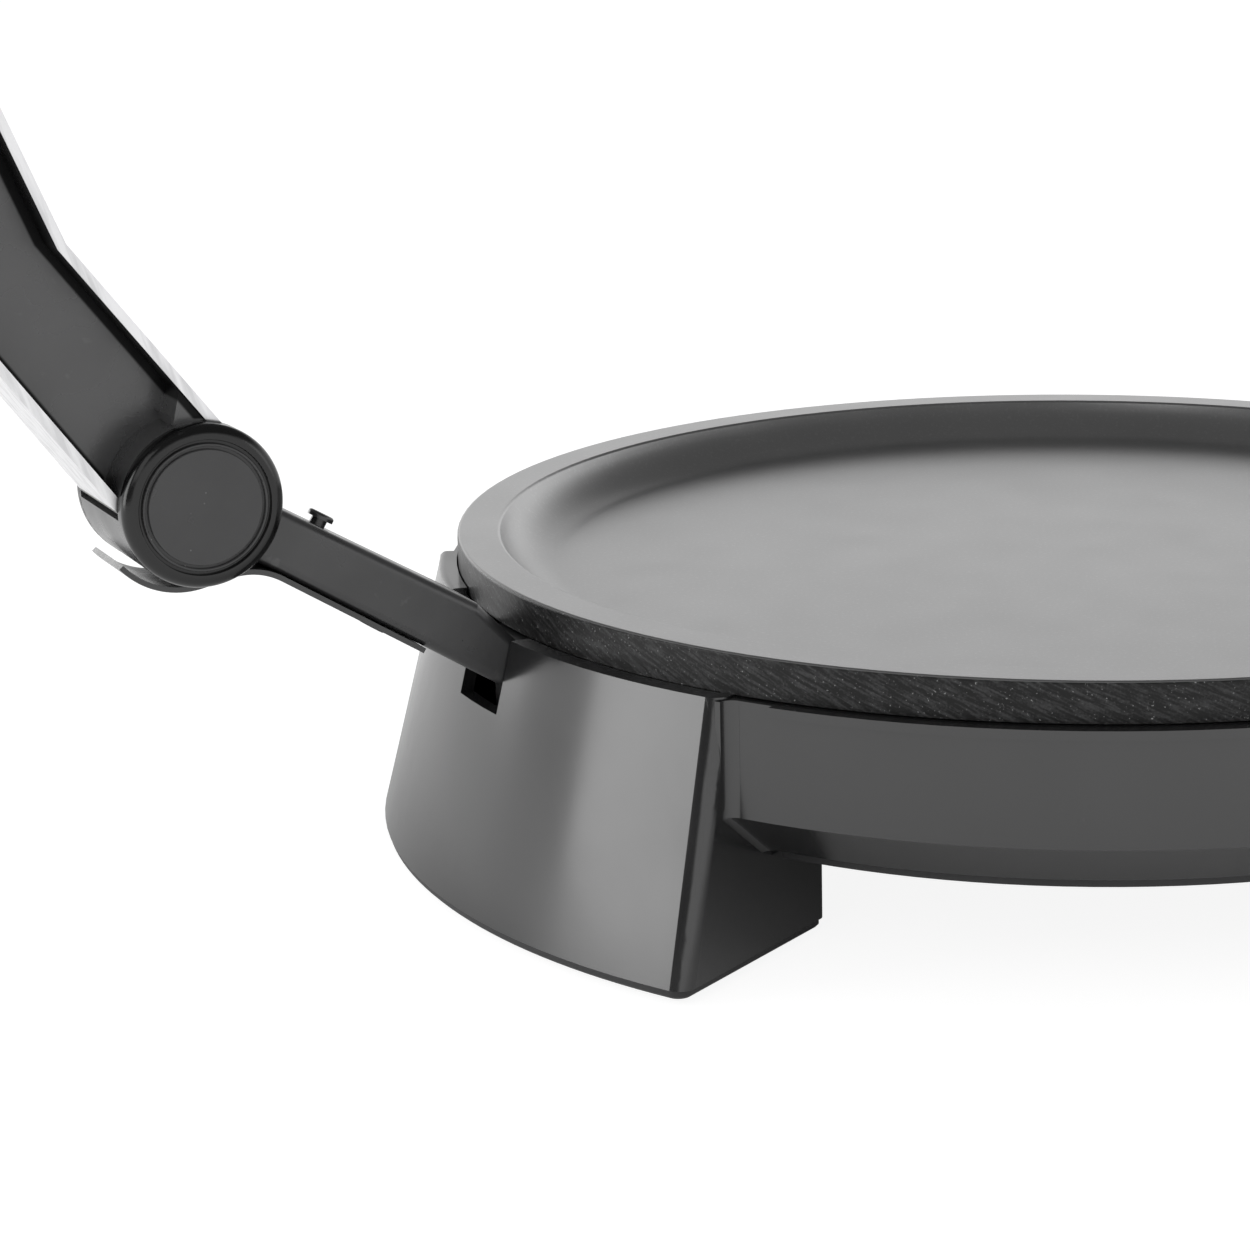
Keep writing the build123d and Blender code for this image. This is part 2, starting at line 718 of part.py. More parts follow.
foot_cover_screws = screw_set(
    [polar(foot_boss_circle, angle + side * foot_boss_angle) for angle in (rear, front) for side in (-1, 1)],
    small_screw_radius, foot_cover_thickness + foot_screw_bite,
    small_head_radius, flat_head_height, Plane.XY.offset(foot_cover_bottom),
)
save(foot_cover_screws, "foot_cover_screws")

# Foot pads: soft rubber discs with a plug pressed through the foot cover
with BuildPart() as foot_pads:
    for angle in (rear, front):
        for side in (-1, 1):
            place = polar(pad_circle, angle + side * pad_angle / 2)
            with BuildSketch(Plane.XY.offset(counter)):
                with Locations(place):
                    Circle(pad_radius)
            extrude(amount=pad_proud)
            with BuildSketch(Plane.XY.offset(foot_cover_bottom)):
                with Locations(place):
                    Circle(pad_plug_radius)
            extrude(amount=foot_cover_thickness + 1)
    chamfer(foot_pads.edges().group_by(Axis.Z)[0], length=0.4)
save(foot_pads, "foot_pads")


def heating_element(back, gap_centre):
    """Open ring of tube on the back of a plate, with its two ends bent away from the plate."""
    tube = back.offset(element_tube_radius + turning_gap)
    first = gap_centre + element_gap_angle / 2
    last = gap_centre - element_gap_angle / 2
    with BuildPart() as element:
        with BuildSketch(spoke(tube, first)):
            with Locations((element_radius, 0)):
                Circle(element_tube_radius)
        revolve(axis=Axis(tube.origin, tube.z_dir), revolution_arc=360 - element_gap_angle)
        for angle, turn in ((first, -1), (last, 1)):
            out = spoke(tube, angle)
            with BuildSketch(out):
                with Locations((element_radius, 0)):
                    Circle(element_tube_radius)
            bend_axis = Axis(out.from_local_coords((0, element_bend, 0)), out.x_dir * turn)
            revolve(axis=bend_axis, revolution_arc=90)
            foot = out.from_local_coords((element_radius, element_bend, -turn * element_bend))
            with BuildSketch(Plane(origin=foot, x_dir=out.x_dir, z_dir=tube.z_dir)):
                Circle(element_tube_radius)
            extrude(amount=element_drop - element_bend)
            with BuildSketch(Plane(origin=foot, x_dir=out.x_dir, z_dir=tube.z_dir)):
                Circle(terminal_radius)
            extrude(amount=element_drop - element_bend + terminal_length)
    return element


def heat_shield(back, gap_centre):
    """Shallow sheet pan held over the element by the plate's studs."""
    with BuildPart() as shield:
        with BuildSketch(back.offset(passing_gap)):
            Circle(shield_radius)
        extrude(amount=shield_depth + shield_thickness - passing_gap)
        with BuildSketch(back.offset(passing_gap)):
            Circle(shield_radius - shield_thickness)
        extrude(amount=shield_depth - passing_gap, mode=Mode.SUBTRACT)
        outer_corner = shield.edges().filter_by(GeomType.CIRCLE).sort_by(Axis(back.origin, back.z_dir))[-1]
        fillet(outer_corner, radius=0.6)
        with BuildSketch(back.offset(shield_depth)):
            with PolarLocations(plate_stud_circle, plate_stud_count, start_angle=plate_stud_start):
                Circle(plate_stud_radius + 0.1)
            for side in (-1, 1):
                end = gap_centre + side * element_gap_angle / 2
                with Locations(polar(element_radius, end) + polar(element_bend, end - side * 90)):
                    Circle(element_tube_radius + 2)
        extrude(amount=shield_thickness, mode=Mode.SUBTRACT)
    return shield


def shield_nuts(back):
    """Hexagon nuts that hold the shield on the studs."""
    with BuildPart() as nuts:
        with BuildSketch(back.offset(shield_depth + shield_thickness)):
            with PolarLocations(plate_stud_circle, plate_stud_count, start_angle=plate_stud_start):
                RegularPolygon(nut_radius, 6)
                Circle(plate_stud_radius + thread_gap, mode=Mode.SUBTRACT)
        extrude(amount=nut_height)
    return nuts


def thermal_fuse(back):
    """Small can with a lead at each end, lying on the back of the plate."""
    height = fuse_radius + fuse_gap
    with BuildPart() as fuse:
        over_leads = fuse_length + 2 * fuse_lead_length
        for radius, length in ((fuse_radius, fuse_length), (fuse_lead_radius, over_leads)):
            start = back.from_local_coords((-length / 2, fuse_place, height))
            with BuildSketch(Plane(origin=start, x_dir=back.y_dir, z_dir=back.x_dir)):
                Circle(radius)
            extrude(amount=length)
    return fuse


def fuse_clip(back):
    """Strap bent over the fuse, screwed to the plate at one side."""
    height = fuse_radius + fuse_gap
    inside = fuse_radius + fuse_gap / 2
    outside = inside + fuse_clip_thickness
    start = back.from_local_coords((-fuse_clip_length / 2, fuse_place, 0))
    with BuildPart() as clip:
        with BuildSketch(Plane(origin=start, x_dir=back.y_dir, z_dir=back.x_dir)):
            with Locations((0, height)):
                Circle(outside)
            with Locations((0, height / 2)):
                Rectangle(2 * outside, height)
            with Locations((0, fuse_clip_thickness / 2)):
                Rectangle(2 * fuse_clip_half_width, fuse_clip_thickness)
            with Locations((0, height)):
                Circle(inside, mode=Mode.SUBTRACT)
            with Locations((0, height / 2 - 1)):
                Rectangle(2 * inside, height + 2, mode=Mode.SUBTRACT)
            with Locations((0, -outside)):
                Rectangle(4 * outside, 2 * outside, mode=Mode.SUBTRACT)
        extrude(amount=fuse_clip_length)
        with BuildSketch(back):
            with Locations((0, fuse_place + fuse_screw_place)):
                Circle(small_screw_radius + screw_gap / 2)
        extrude(amount=fuse_clip_thickness, mode=Mode.SUBTRACT)
    return clip


def fuse_screw(back):
    """Short screw of the fuse clip, from the clip into the plate."""
    into_plate = Plane(origin=back.offset(fuse_clip_thickness).origin, x_dir=back.x_dir, z_dir=-back.z_dir)
    place = into_plate.to_local_coords(
        back.from_local_coords((0, fuse_place + fuse_screw_place, fuse_clip_thickness))
    )
    return screw_set(
        [(place.X, place.Y)], small_screw_radius, fuse_clip_thickness + 2.5,
        small_head_radius, small_head_height, into_plate,
    )


save(heating_element(lower_back, -90), "lower_element")
save(heat_shield(lower_back, -90), "lower_heat_shield")
save(shield_nuts(lower_back), "lower_shield_nuts")
save(thermal_fuse(lower_back), "lower_thermal_fuse")
save(fuse_clip(lower_back), "lower_fuse_clip")
save(fuse_screw(lower_back), "lower_fuse_screw")

# Thermostat: flanged can pinched between the plate and its heat shield
with BuildPart() as thermostat:
    with BuildSketch(lower_back):
        Circle(thermostat_radius)
    extrude(amount=thermostat_flange)
    with BuildSketch(lower_back):
        Circle(thermostat_can_radius)
    extrude(amount=shield_depth)
    chamfer(thermostat.edges().group_by(Axis.Z)[0], length=0.5)
save(thermostat, "thermostat")

# Terminal block: three screw wells in a plastic brick on the bottom cover
with BuildPart() as terminal_block:
    with BuildSketch(Plane.XY.offset(bowl_bottom)):
        with Locations((terminal_block_x, 0)):
            Rectangle(terminal_block_size[0], terminal_block_size[1])
    extrude(amount=terminal_block_size[2])
    fillet(terminal_block.edges().filter_by(Axis.Z), radius=1.5)
    with BuildSketch(Plane.XY.offset(bowl_bottom + terminal_block_size[2])):
        with Locations((terminal_block_x, 0)):
            with GridLocations(9, 1, 3, 1):
                Circle(3)
    extrude(amount=-5, mode=Mode.SUBTRACT)
    with BuildSketch(Plane.XY.offset(bowl_bottom)):
        with Locations((terminal_block_x, 0)):
            with GridLocations(terminal_screw_spacing, 1, 2, 1):
                Circle(small_screw_radius + thread_gap)
    extrude(amount=8, mode=Mode.SUBTRACT)
save(terminal_block, "terminal_block")

terminal_block_screws = screw_set(
    [(terminal_block_x + side * terminal_screw_spacing / 2, 0) for side in (-1, 1)],
    small_screw_radius, cover_thickness + 7, small_head_radius, small_head_height,
    Plane.XY.offset(bowl_bottom - cover_thickness),
)
save(terminal_block_screws, "terminal_block_screws")

# Cord bush: rubber collar in the end wall of the rear foot, with a barb behind the wall
with BuildPart() as cord_bush:
    with BuildSketch(cord_face):
        with Locations((foot_inner_radius + bush_place, bush_height)):
            Circle(bush_flange_radius)
    extrude(amount=bush_flange_thickness)
    with BuildSketch(cord_face):
        with Locations((foot_inner_radius + bush_place, bush_height)):
            Circle(bush_radius)
    extrude(amount=-bush_length)
    with BuildSketch(cord_face.offset(-3.4)):
        with Locations((foot_inner_radius + bush_place, bush_height)):
            Circle(bush_radius + bush_barb)
    extrude(amount=-1.6)
    with BuildSketch(cord_face):
        with Locations((foot_inner_radius + bush_place, bush_height)):
            Circle(bush_bore_radius)
    extrude(amount=20, both=True, mode=Mode.SUBTRACT)
save(cord_bush, "cord_bush")


def lamp(side):
    """Round indicator lens that shows through the front foot."""
    tip = foot_radius(lamp_height) + lamp_proud
    back = Plane(polar(tip - lamp_length, side * lamp_angle, lamp_height), x_dir=(0, 0, 1),
                 z_dir=polar(1, side * lamp_angle))
    with BuildPart() as lens:
        with BuildSketch(back):
            Circle(lamp_radius)
        extrude(amount=lamp_length)
        outward = Axis((0, 0, lamp_height), polar(1, side * lamp_angle))
        fillet(lens.faces().sort_by(outward)[-1].edges(), radius=0.8)
    return lens


save(lamp(-1), "power_lamp")
save(lamp(1), "ready_lamp")

# Lower arm: a solid leg from the rear foot up to the hinge, with a round hub for the pin
with BuildPart() as lower_arm:
    with BuildSketch(middle):
        Polygon(
            along_arm(0, arm_top_offset),
            along_arm(arm_straight, arm_top_offset),
            (-plate_radius - arm_step_edge, arm_step_top),
            (arm_step_front, arm_step_top),
            (arm_step_front, plate_underside - arm_step_gap),
            (arm_root_front, plate_underside - arm_step_gap),
            (arm_root_front, arm_root_bottom),
            (arm_root_back, arm_root_bottom),
            (arm_root_back, notch_bottom + arm_notch_gap),
            arm_underside(arm_drop_start),
            along_arm(0, -arm_drop_near),
            align=None,
        )
    extrude(amount=arm_width / 2, both=True)
    fillet(lower_arm.edges().filter_by(GeomType.LINE).filter_by(Axis.Y, reverse=True), radius=arm_edge_radius)
    with BuildSketch(middle):
        with Locations((hinge_x, hinge_z)):
            Circle(hub_radius)
            with BuildLine() as nib:
                nib_arc = CenterArc((hinge_x, hinge_z), nib_radius, nib_start, nib_sweep)
                Line(nib_arc @ 0, (hinge_x, hinge_z))
                Line(nib_arc @ 1, (hinge_x, hinge_z))
        make_face(nib.edges())
    extrude(amount=arm_width / 2, both=True)
    with BuildSketch(middle):
        with Locations((hinge_x, hinge_z)):
            Circle(pin_radius + turning_gap)
    extrude(amount=arm_width, both=True, mode=Mode.SUBTRACT)
    with BuildSketch(Plane.XY.offset(arm_root_bottom)):
        with Locations(((arm_root_front + arm_root_back) / 2, 0)):
            with GridLocations(0, arm_width / 2, 1, 2):
                Circle(small_screw_radius + thread_gap)
    extrude(amount=arm_screw_depth, mode=Mode.SUBTRACT)
    with BuildSketch(stud_plane):
        Circle(stud_neck_radius + thread_gap)
    extrude(amount=-stud_depth, mode=Mode.SUBTRACT)
    with BuildSketch(guard_screw_plane):
        Circle(small_screw_radius + thread_gap)
    extrude(amount=guard_screw_length, mode=Mode.SUBTRACT)
save(lower_arm, "lower_arm")

arm_root_screws = screw_set(
    [((arm_root_front + arm_root_back) / 2, side * arm_width / 4) for side in (-1, 1)],
    small_screw_radius, arm_seat_thickness + arm_screw_depth - 1, small_head_radius, small_head_height,
    Plane.XY.offset(arm_root_bottom - arm_seat_thickness),
)
save(arm_root_screws, "arm_root_screws")

# Stop stud: a small mushroom pressed into the top of the lower arm
with BuildPart() as arm_stud:
    with BuildSketch(stud_plane):
        Circle(stud_neck_radius)
    extrude(amount=-stud_depth)
    with BuildSketch(stud_plane):
        Circle(stud_neck_radius)
    extrude(amount=stud_height)
    with BuildSketch(stud_plane.offset(stud_height - stud_head_thickness)):
        Circle(stud_head_radius)
    extrude(amount=stud_head_thickness)
    fillet(arm_stud.edges().group_by(Axis(stud_plane.origin, stud_plane.z_dir))[-1], radius=0.5)
save(arm_stud, "arm_stud")

# Guard strip: sheet that follows the underside of the lower arm and wraps round the barrel
with BuildPart() as cable_guard:
    with BuildSketch(middle):
        with BuildLine() as guard_path:
            Polyline(guard_start, guard_corner, guard_wrap_point)
            fillet(guard_path.vertices().sort_by_distance(guard_corner)[0], radius=guard_bend_radius)
            CenterArc(guard_wrap_centre, guard_wrap_radius, guard_wrap_start,
                      guard_wrap_end - guard_wrap_start)
        trace(line_width=guard_thickness)
    extrude(amount=arm_width / 2, both=True)
    with BuildSketch(guard_screw_plane):
        Circle(small_screw_radius + screw_gap)
    extrude(amount=10, both=True, mode=Mode.SUBTRACT)
save(cable_guard, "cable_guard")

guard_screw = screw_set(
    [(0, 0)], small_screw_radius, guard_gap + guard_thickness + guard_screw_length - 1,
    guard_head_radius, guard_head_height, guard_screw_plane.offset(-guard_gap - guard_thickness),
)
save(guard_screw, "guard_screw")

# Thrust washers between the hub and the barrel's side walls
with BuildPart() as hinge_washers:
    for side in (-1, 1):
        with BuildSketch(middle.offset(side * (arm_width / 2 + turning_gap))):
            with Locations((hinge_x, hinge_z)):
                Circle(washer_radius)
                Circle(pin_radius + passing_gap, mode=Mode.SUBTRACT)
        extrude(amount=side * washer_thickness)
save(hinge_washers, "hinge_washers")

# Upper arm: one casting of a bent I-section beam, the hinge barrel, the lid's pivot lug and the tang
beam_end_low = beam_bend_low[1] + (beam_end - beam_bend_low[0]) * tan(radians(beam_low_slope))
beam_end_high = beam_bend_high[1] + (beam_end - beam_bend_high[0]) * tan(radians(beam_high_slope))
beam_outline = (
    beam_root_low,
    beam_bend_low,
    (beam_end, beam_end_low),
    (beam_end, beam_end_high),
    beam_bend_high,
    beam_root_high,
)
slot_high = arm_top_offset + slot_gap
tang_start = (
    beam_end - beam_end_wall,
    (beam_end_low + beam_end_high) / 2 - beam_end_wall * tan(radians(tang_slope)),
)
grip_side = Plane(
    origin=arm_plane.from_local_coords((tang_start[0], tang_start[1], 0)),
    x_dir=arm_plane.x_dir * cos(radians(tang_slope)) + arm_plane.y_dir * sin(radians(tang_slope)),
    z_dir=arm_plane.z_dir,
)


def beam_pocket(side):
    """Hollow on one side of the beam: down to the web, but less deep over the slot."""
    with BuildPart() as pocket:
        for depth in (beam_web / 2, beam_width / 2 - cheek_depth):
            with BuildSketch(arm_plane.offset(side * depth)):
                Polygon(*beam_outline, align=None)
                offset(amount=-beam_flange, kind=Kind.INTERSECTION, mode=Mode.REPLACE)
                Circle(barrel_radius, mode=Mode.SUBTRACT)
                with Locations((beam_end, 0)):
                    Rectangle(2 * beam_end_wall, beam_end, mode=Mode.SUBTRACT)
                # keep only the piece in front of the barrel
                with Locations((-barrel_radius, 0)):
                    Rectangle(2 * barrel_radius, beam_end, mode=Mode.SUBTRACT)
                if depth < beam_width / 2 - cheek_depth:
                    beside_arm(slot_start, slot_reach, -slot_low, slot_high + slot_edge, mode=Mode.SUBTRACT)
            extrude(amount=side * beam_width)
    return pocket.part


with BuildPart() as upper_arm:
    with BuildSketch(arm_plane):
        Polygon(*beam_outline, align=None)
    extrude(amount=beam_width / 2, both=True)
    add(beam_pocket(-1), mode=Mode.SUBTRACT)
    add(beam_pocket(1), mode=Mode.SUBTRACT)
    with BuildSketch(arm_plane):
        Circle(barrel_radius)
    extrude(amount=barrel_half_width, both=True)
    # tang for the grip
    with BuildSketch(grip_side):
        with Locations(((tang_length + beam_end_wall) / 2, 0)):
            Rectangle(tang_length + beam_end_wall, tang_height)
    extrude(amount=tang_width / 2, both=True)
    with BuildSketch(Plane(grip_side.origin, x_dir=grip_side.x_dir, z_dir=grip_side.y_dir)):
        for place in grip_screw_places:
            with Locations((place, 0)):
                Circle(small_screw_radius + screw_gap)
    extrude(amount=grip_height, both=True, mode=Mode.SUBTRACT)
    # lug that carries the lid
    with BuildSketch(arm_plane):
        with Locations((pivot_x, pivot_z)):
            Circle(pivot_lug_radius)
            with Locations((0, pivot_lug_radius + 1)):
                Rectangle(2 * pivot_lug_radius, 2 * pivot_lug_radius + 2)
    extrude(amount=pivot_lug_width / 2, both=True)
    with BuildSketch(arm_plane):
        with Locations((pivot_x, pivot_z)):
            Circle(pivot_radius + turning_gap)
    extrude(amount=pivot_lug_width, both=True, mode=Mode.SUBTRACT)
    # bore of the barrel and bore for the pin
    with BuildSketch(arm_plane):
        Circle(barrel_bore_radius)
    extrude(amount=barrel_half_inside, both=True, mode=Mode.SUBTRACT)
    with BuildSketch(arm_plane):
        Circle(pin_radius + thread_gap)
    extrude(amount=barrel_half_width, both=True, mode=Mode.SUBTRACT)
    for side in (-1, 1):
        with BuildSketch(arm_plane.offset(side * barrel_half_width)):
            Circle(cap_spigot_radius + turning_gap)
        extrude(amount=-side * (cap_spigot_length + turning_gap), mode=Mode.SUBTRACT)
    # window in the barrel for the lower arm
    with BuildSketch(arm_plane):
        with BuildLine() as window:
            window_arc = CenterArc((0, 0), barrel_radius + 1, window_start, -window_sweep)
            Line(window_arc @ 0, (0, 0))
            Line(window_arc @ 1, (0, 0))
        make_face(window.edges())
    extrude(amount=barrel_half_inside, both=True, mode=Mode.SUBTRACT)
    # room for the lower arm when closed
    with BuildSketch(arm_plane):
        beside_arm(slot_start, slot_reach, -slot_low, slot_high)
    extrude(amount=barrel_half_inside, both=True, mode=Mode.SUBTRACT)
    # slit in the top of the barrel
    with BuildSketch(arm_plane):
        with BuildLine() as slit:
            slit_arc = CenterArc((0, 0), barrel_radius + 1, slot_angle - slot_half_angle, 2 * slot_half_angle)
            Line(slit_arc @ 0, (0, 0))
            Line(slit_arc @ 1, (0, 0))
        make_face(slit.edges())
        Circle(barrel_bore_radius - 0.5, mode=Mode.SUBTRACT)
    extrude(amount=beam_width / 2, both=True, mode=Mode.SUBTRACT)
save(upper_arm, "upper_arm")


def hinge_cap(side):
    """Round cap on one end of the barrel, with a rolled edge and two ring grooves."""
    base = arm_plane.offset(side * barrel_half_width)
    out = Axis(base.origin, base.z_dir * side)
    with BuildPart() as cap:
        with BuildSketch(base):
            Circle(barrel_radius)
        extrude(amount=side * cap_thickness)
        fillet(cap.faces().sort_by(out)[-1].edges(), radius=cap_edge_radius)
        for radius in cap_groove_radii:
            with BuildSketch(base.offset(side * cap_thickness)):
                Circle(radius + cap_groove_width / 2)
                Circle(radius - cap_groove_width / 2, mode=Mode.SUBTRACT)
            extrude(amount=-side * cap_groove_depth, mode=Mode.SUBTRACT)
        groove_edges = cap.edges().filter_by(GeomType.CIRCLE).group_by(out)[-1]
        in_disc = cap_groove_radii[0] + cap_groove_width
        fillet(groove_edges.filter_by(lambda e: e.radius < in_disc), radius=cap_groove_rounding)
        with BuildSketch(base):
            Circle(cap_spigot_radius)
        extrude(amount=-side * cap_spigot_length)
    return cap


save(hinge_cap(1), "near_hinge_cap")
save(hinge_cap(-1), "far_hinge_cap")

# Hinge pin: pressed in the barrel's side walls, turns in the hub of the lower arm
with BuildPart() as hinge_pin:
    with BuildSketch(arm_plane):
        Circle(pin_radius)
    extrude(amount=barrel_half_width - cap_spigot_length - turning_gap, both=True)
    chamfer(hinge_pin.edges().filter_by(GeomType.CIRCLE), length=0.5)
save(hinge_pin, "hinge_pin")


def grip_half(side):
    """Upper or lower half of the grip, hollowed for the tang and the end of the beam."""
    with BuildPart() as half:
        with BuildSketch(Plane(grip_side.origin, x_dir=grip_side.z_dir, z_dir=grip_side.x_dir)):
            RectangleRounded(grip_width, grip_height, grip_corner_radius)
        extrude(amount=grip_length)
        ends = half.faces().sort_by(Axis(grip_side.origin, grip_side.x_dir))
        fillet(ends[-1].edges() + ends[0].edges(), radius=grip_end_radius)
        with BuildSketch(grip_side):
            with Locations((grip_length / 2, -side * grip_height / 2)):
                Rectangle(grip_length + 2, grip_height)
        extrude(amount=grip_width, both=True, mode=Mode.SUBTRACT)
        with BuildSketch(grip_side):
            with Locations(((tang_length + beam_end_wall) / 2, 0)):
                Rectangle(tang_length + beam_end_wall + 2 * passing_gap, tang_height + 2 * turning_gap)
        extrude(amount=tang_width / 2 + turning_gap, both=True, mode=Mode.SUBTRACT)
        with BuildSketch(grip_side):
            Rectangle(
                2 * (beam_end_wall + grip_socket_play),
                beam_end_high - beam_end_low + 2 * grip_socket_play,
            )
        extrude(amount=beam_width / 2 + passing_gap, both=True, mode=Mode.SUBTRACT)
        with BuildSketch(Plane(grip_side.origin, x_dir=grip_side.x_dir, z_dir=grip_side.y_dir)):
            for place in grip_screw_places:
                with Locations((place, 0)):
                    Circle(small_screw_radius + (thread_gap if side > 0 else screw_gap))
        extrude(amount=side * (grip_height if side < 0 else grip_screw_length - 6), mode=Mode.SUBTRACT)
        if side < 0:
            with BuildSketch(grip_under):
                for place in grip_screw_places:
                    with Locations((place, 0)):
                        Circle(small_head_radius + screw_gap)
            extrude(amount=-grip_height, mode=Mode.SUBTRACT)
    return half


# plane at the bottom of the recesses for the grip screws' heads, Z up through the grip
grip_under = Plane(
    origin=grip_side.from_local_coords((0, grip_screw_recess - grip_height / 2, 0)),
    x_dir=grip_side.x_dir, z_dir=grip_side.y_dir,
)
save(grip_half(1), "grip_upper")
save(grip_half(-1), "grip_lower")

grip_screws = screw_set(
    [(place, 0) for place in grip_screw_places], small_screw_radius, grip_screw_length,
    small_head_radius, small_head_height, grip_under,
)
save(grip_screws, "grip_screws")

# Upper plate: flat cast disc with studs for its shield
with BuildPart() as upper_plate:
    with BuildSketch(lid_side):
        Polygon(
            (0, upper_underside),
            (upper_plate_radius - upper_plate_edge, upper_underside),
            (upper_plate_radius, upper_underside + upper_plate_edge),
            (upper_plate_radius, upper_top),
            (0, upper_top),
            align=None,
        )
    revolve(axis=lid_axis)
    with BuildSketch(upper_back):
        with PolarLocations(plate_stud_circle, plate_stud_count, start_angle=plate_stud_start):
            Circle(plate_stud_radius)
    extrude(amount=shield_depth + shield_thickness + nut_height)
    with BuildSketch(upper_back):
        with PolarLocations(cover_post_circle, len(cover_post_angles), start_angle=cover_post_angles[0]):
            Circle(screw_radius + thread_gap)
    extrude(amount=-(upper_plate_thickness - 1.5), mode=Mode.SUBTRACT)
    with BuildSketch(upper_back):
        with Locations((0, fuse_place + fuse_screw_place)):
            Circle(small_screw_radius + thread_gap)
    extrude(amount=-3, mode=Mode.SUBTRACT)
save(upper_plate, "upper_plate")

save(heating_element(upper_back, 180), "upper_element")
save(heat_shield(upper_back, 180), "upper_heat_shield")
save(shield_nuts(upper_back), "upper_shield_nuts")
save(thermal_fuse(upper_back), "upper_thermal_fuse")
save(fuse_clip(upper_back), "upper_fuse_clip")
save(fuse_screw(upper_back), "upper_fuse_screw")

# Upper cover: a shallow dished shell over the upper plate, with posts for its screws
with BuildPart() as upper_cover:
    with BuildSketch(lid_side):
        Polygon(
            (cover_bottom_radius, upper_top),
            (cover_bend_radius, upper_top + cover_bend_height),
            (cover_shoulder_radius, upper_top + cover_shoulder_height),
            (cover_top_radius, cover_top),
            (0, cover_top),
            (0, cover_top - cover_wall),
            (cover_top_radius - 1, cover_top - cover_wall),
            (cover_shoulder_radius - cover_wall, upper_top + cover_shoulder_height - 1.2),
            (cover_bend_radius - cover_wall, upper_top + cover_bend_height - 0.5),
            (cover_bottom_radius - cover_wall, upper_top),
            align=None,
        )
    revolve(axis=lid_axis)
    with BuildSketch(upper_back):
        with PolarLocations(cover_post_circle, len(cover_post_angles), start_angle=cover_post_angles[0]):
            Circle(cover_post_radius)
    extrude(amount=cover_top - upper_top - cover_wall / 2)
    with BuildSketch(lid_plane.offset(cover_top - cover_wall / 2)):
        with GridLocations(2 * bracket_screw_x, 2 * bracket_screw_y, 2, 2):
            Circle(cover_post_radius)
    extrude(amount=-bracket_boss_height - cover_wall / 2)
    with BuildSketch(upper_back):
        with PolarLocations(cover_post_circle, len(cover_post_angles), start_angle=cover_post_angles[0]):
            Circle(screw_radius + screw_gap)
    extrude(amount=cover_top - upper_top, mode=Mode.SUBTRACT)
    with BuildSketch(lid_plane.offset(cover_top)):
        with GridLocations(2 * bracket_screw_x, 2 * bracket_screw_y, 2, 2):
            Circle(screw_radius + thread_gap)
    extrude(amount=-bracket_screw_length + bracket_thickness - 0.5, mode=Mode.SUBTRACT)
save(upper_cover, "upper_cover")

downwards = Plane(
    origin=lid_plane.offset(cover_top).origin, x_dir=lid_plane.x_dir, z_dir=-lid_plane.z_dir
)
upper_plate_screws = screw_set(
    [polar(cover_post_circle, angle) for angle in cover_post_angles],
    screw_radius, cover_top - upper_top + upper_plate_thickness - 2,
    screw_head_radius, screw_head_height, downwards,
)
save(upper_plate_screws, "upper_plate_screws")

# Lid bracket: a foot plate with two ears for the pivot pin, their ends reach up to stop the rocking
with BuildPart() as lid_bracket:
    with BuildSketch(lid_plane.offset(cover_top)):
        RectangleRounded(bracket_length, bracket_width, 3)
    extrude(amount=bracket_thickness)
    for side in (-1, 1):
        with BuildSketch(lid_side.offset(side * (pivot_lug_width / 2 + ear_gap))):
            Polygon(
                (-bracket_length / 2, cover_top + 1),
                (bracket_length / 2, cover_top + 1),
                (bracket_length / 2, front_stop_height),
                (bracket_length / 2 - stop_lug_length, front_stop_height),
                (pivot_lug_radius, 0),
                (-pivot_lug_radius, 0),
                (-bracket_length / 2 + stop_lug_length, rear_stop_height),
                (-bracket_length / 2, rear_stop_height),
                align=None,
            )
            Circle(pivot_lug_radius)
        extrude(amount=side * ear_thickness)
    with BuildSketch(lid_side):
        Circle(pivot_radius + thread_gap)
    extrude(amount=bracket_width, both=True, mode=Mode.SUBTRACT)
    with BuildSketch(lid_plane.offset(cover_top)):
        with GridLocations(2 * bracket_screw_x, 2 * bracket_screw_y, 2, 2):
            Circle(screw_radius + screw_gap)
    extrude(amount=bracket_thickness, mode=Mode.SUBTRACT)
save(lid_bracket, "lid_bracket")

bracket_screws = screw_set(
    [(x, y) for x in (-bracket_screw_x, bracket_screw_x) for y in (-bracket_screw_y, bracket_screw_y)],
    screw_radius, bracket_screw_length, screw_head_radius, screw_head_height,
    downwards.offset(-bracket_thickness),
)
save(bracket_screws, "bracket_screws")

# Pivot pin with a groove near each end, and the clips in the grooves
ear_outside = pivot_lug_width / 2 + ear_gap + ear_thickness
with BuildPart() as pivot_pin:
    with BuildSketch(lid_side):
        Circle(pivot_radius)
    extrude(amount=ear_outside + turning_gap + 2 * clip_thickness, both=True)
    for side in (-1, 1):
        with BuildSketch(lid_side.offset(side * (ear_outside + turning_gap))):
            Circle(pivot_radius + 1)
            Circle(clip_bore_radius, mode=Mode.SUBTRACT)
        extrude(amount=side * clip_thickness, mode=Mode.SUBTRACT)
save(pivot_pin, "pivot_pin")

with BuildPart() as pivot_clips:
    for side in (-1, 1):
        with BuildSketch(lid_side.offset(side * (ear_outside + 1.5 * turning_gap))):
            Circle(clip_radius)
            Circle(clip_bore_radius + turning_gap, mode=Mode.SUBTRACT)
        extrude(amount=side * (clip_thickness - turning_gap))
save(pivot_clips, "pivot_clips")
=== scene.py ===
import json
from math import radians, tan

import bpy
from mathutils import Matrix, Vector


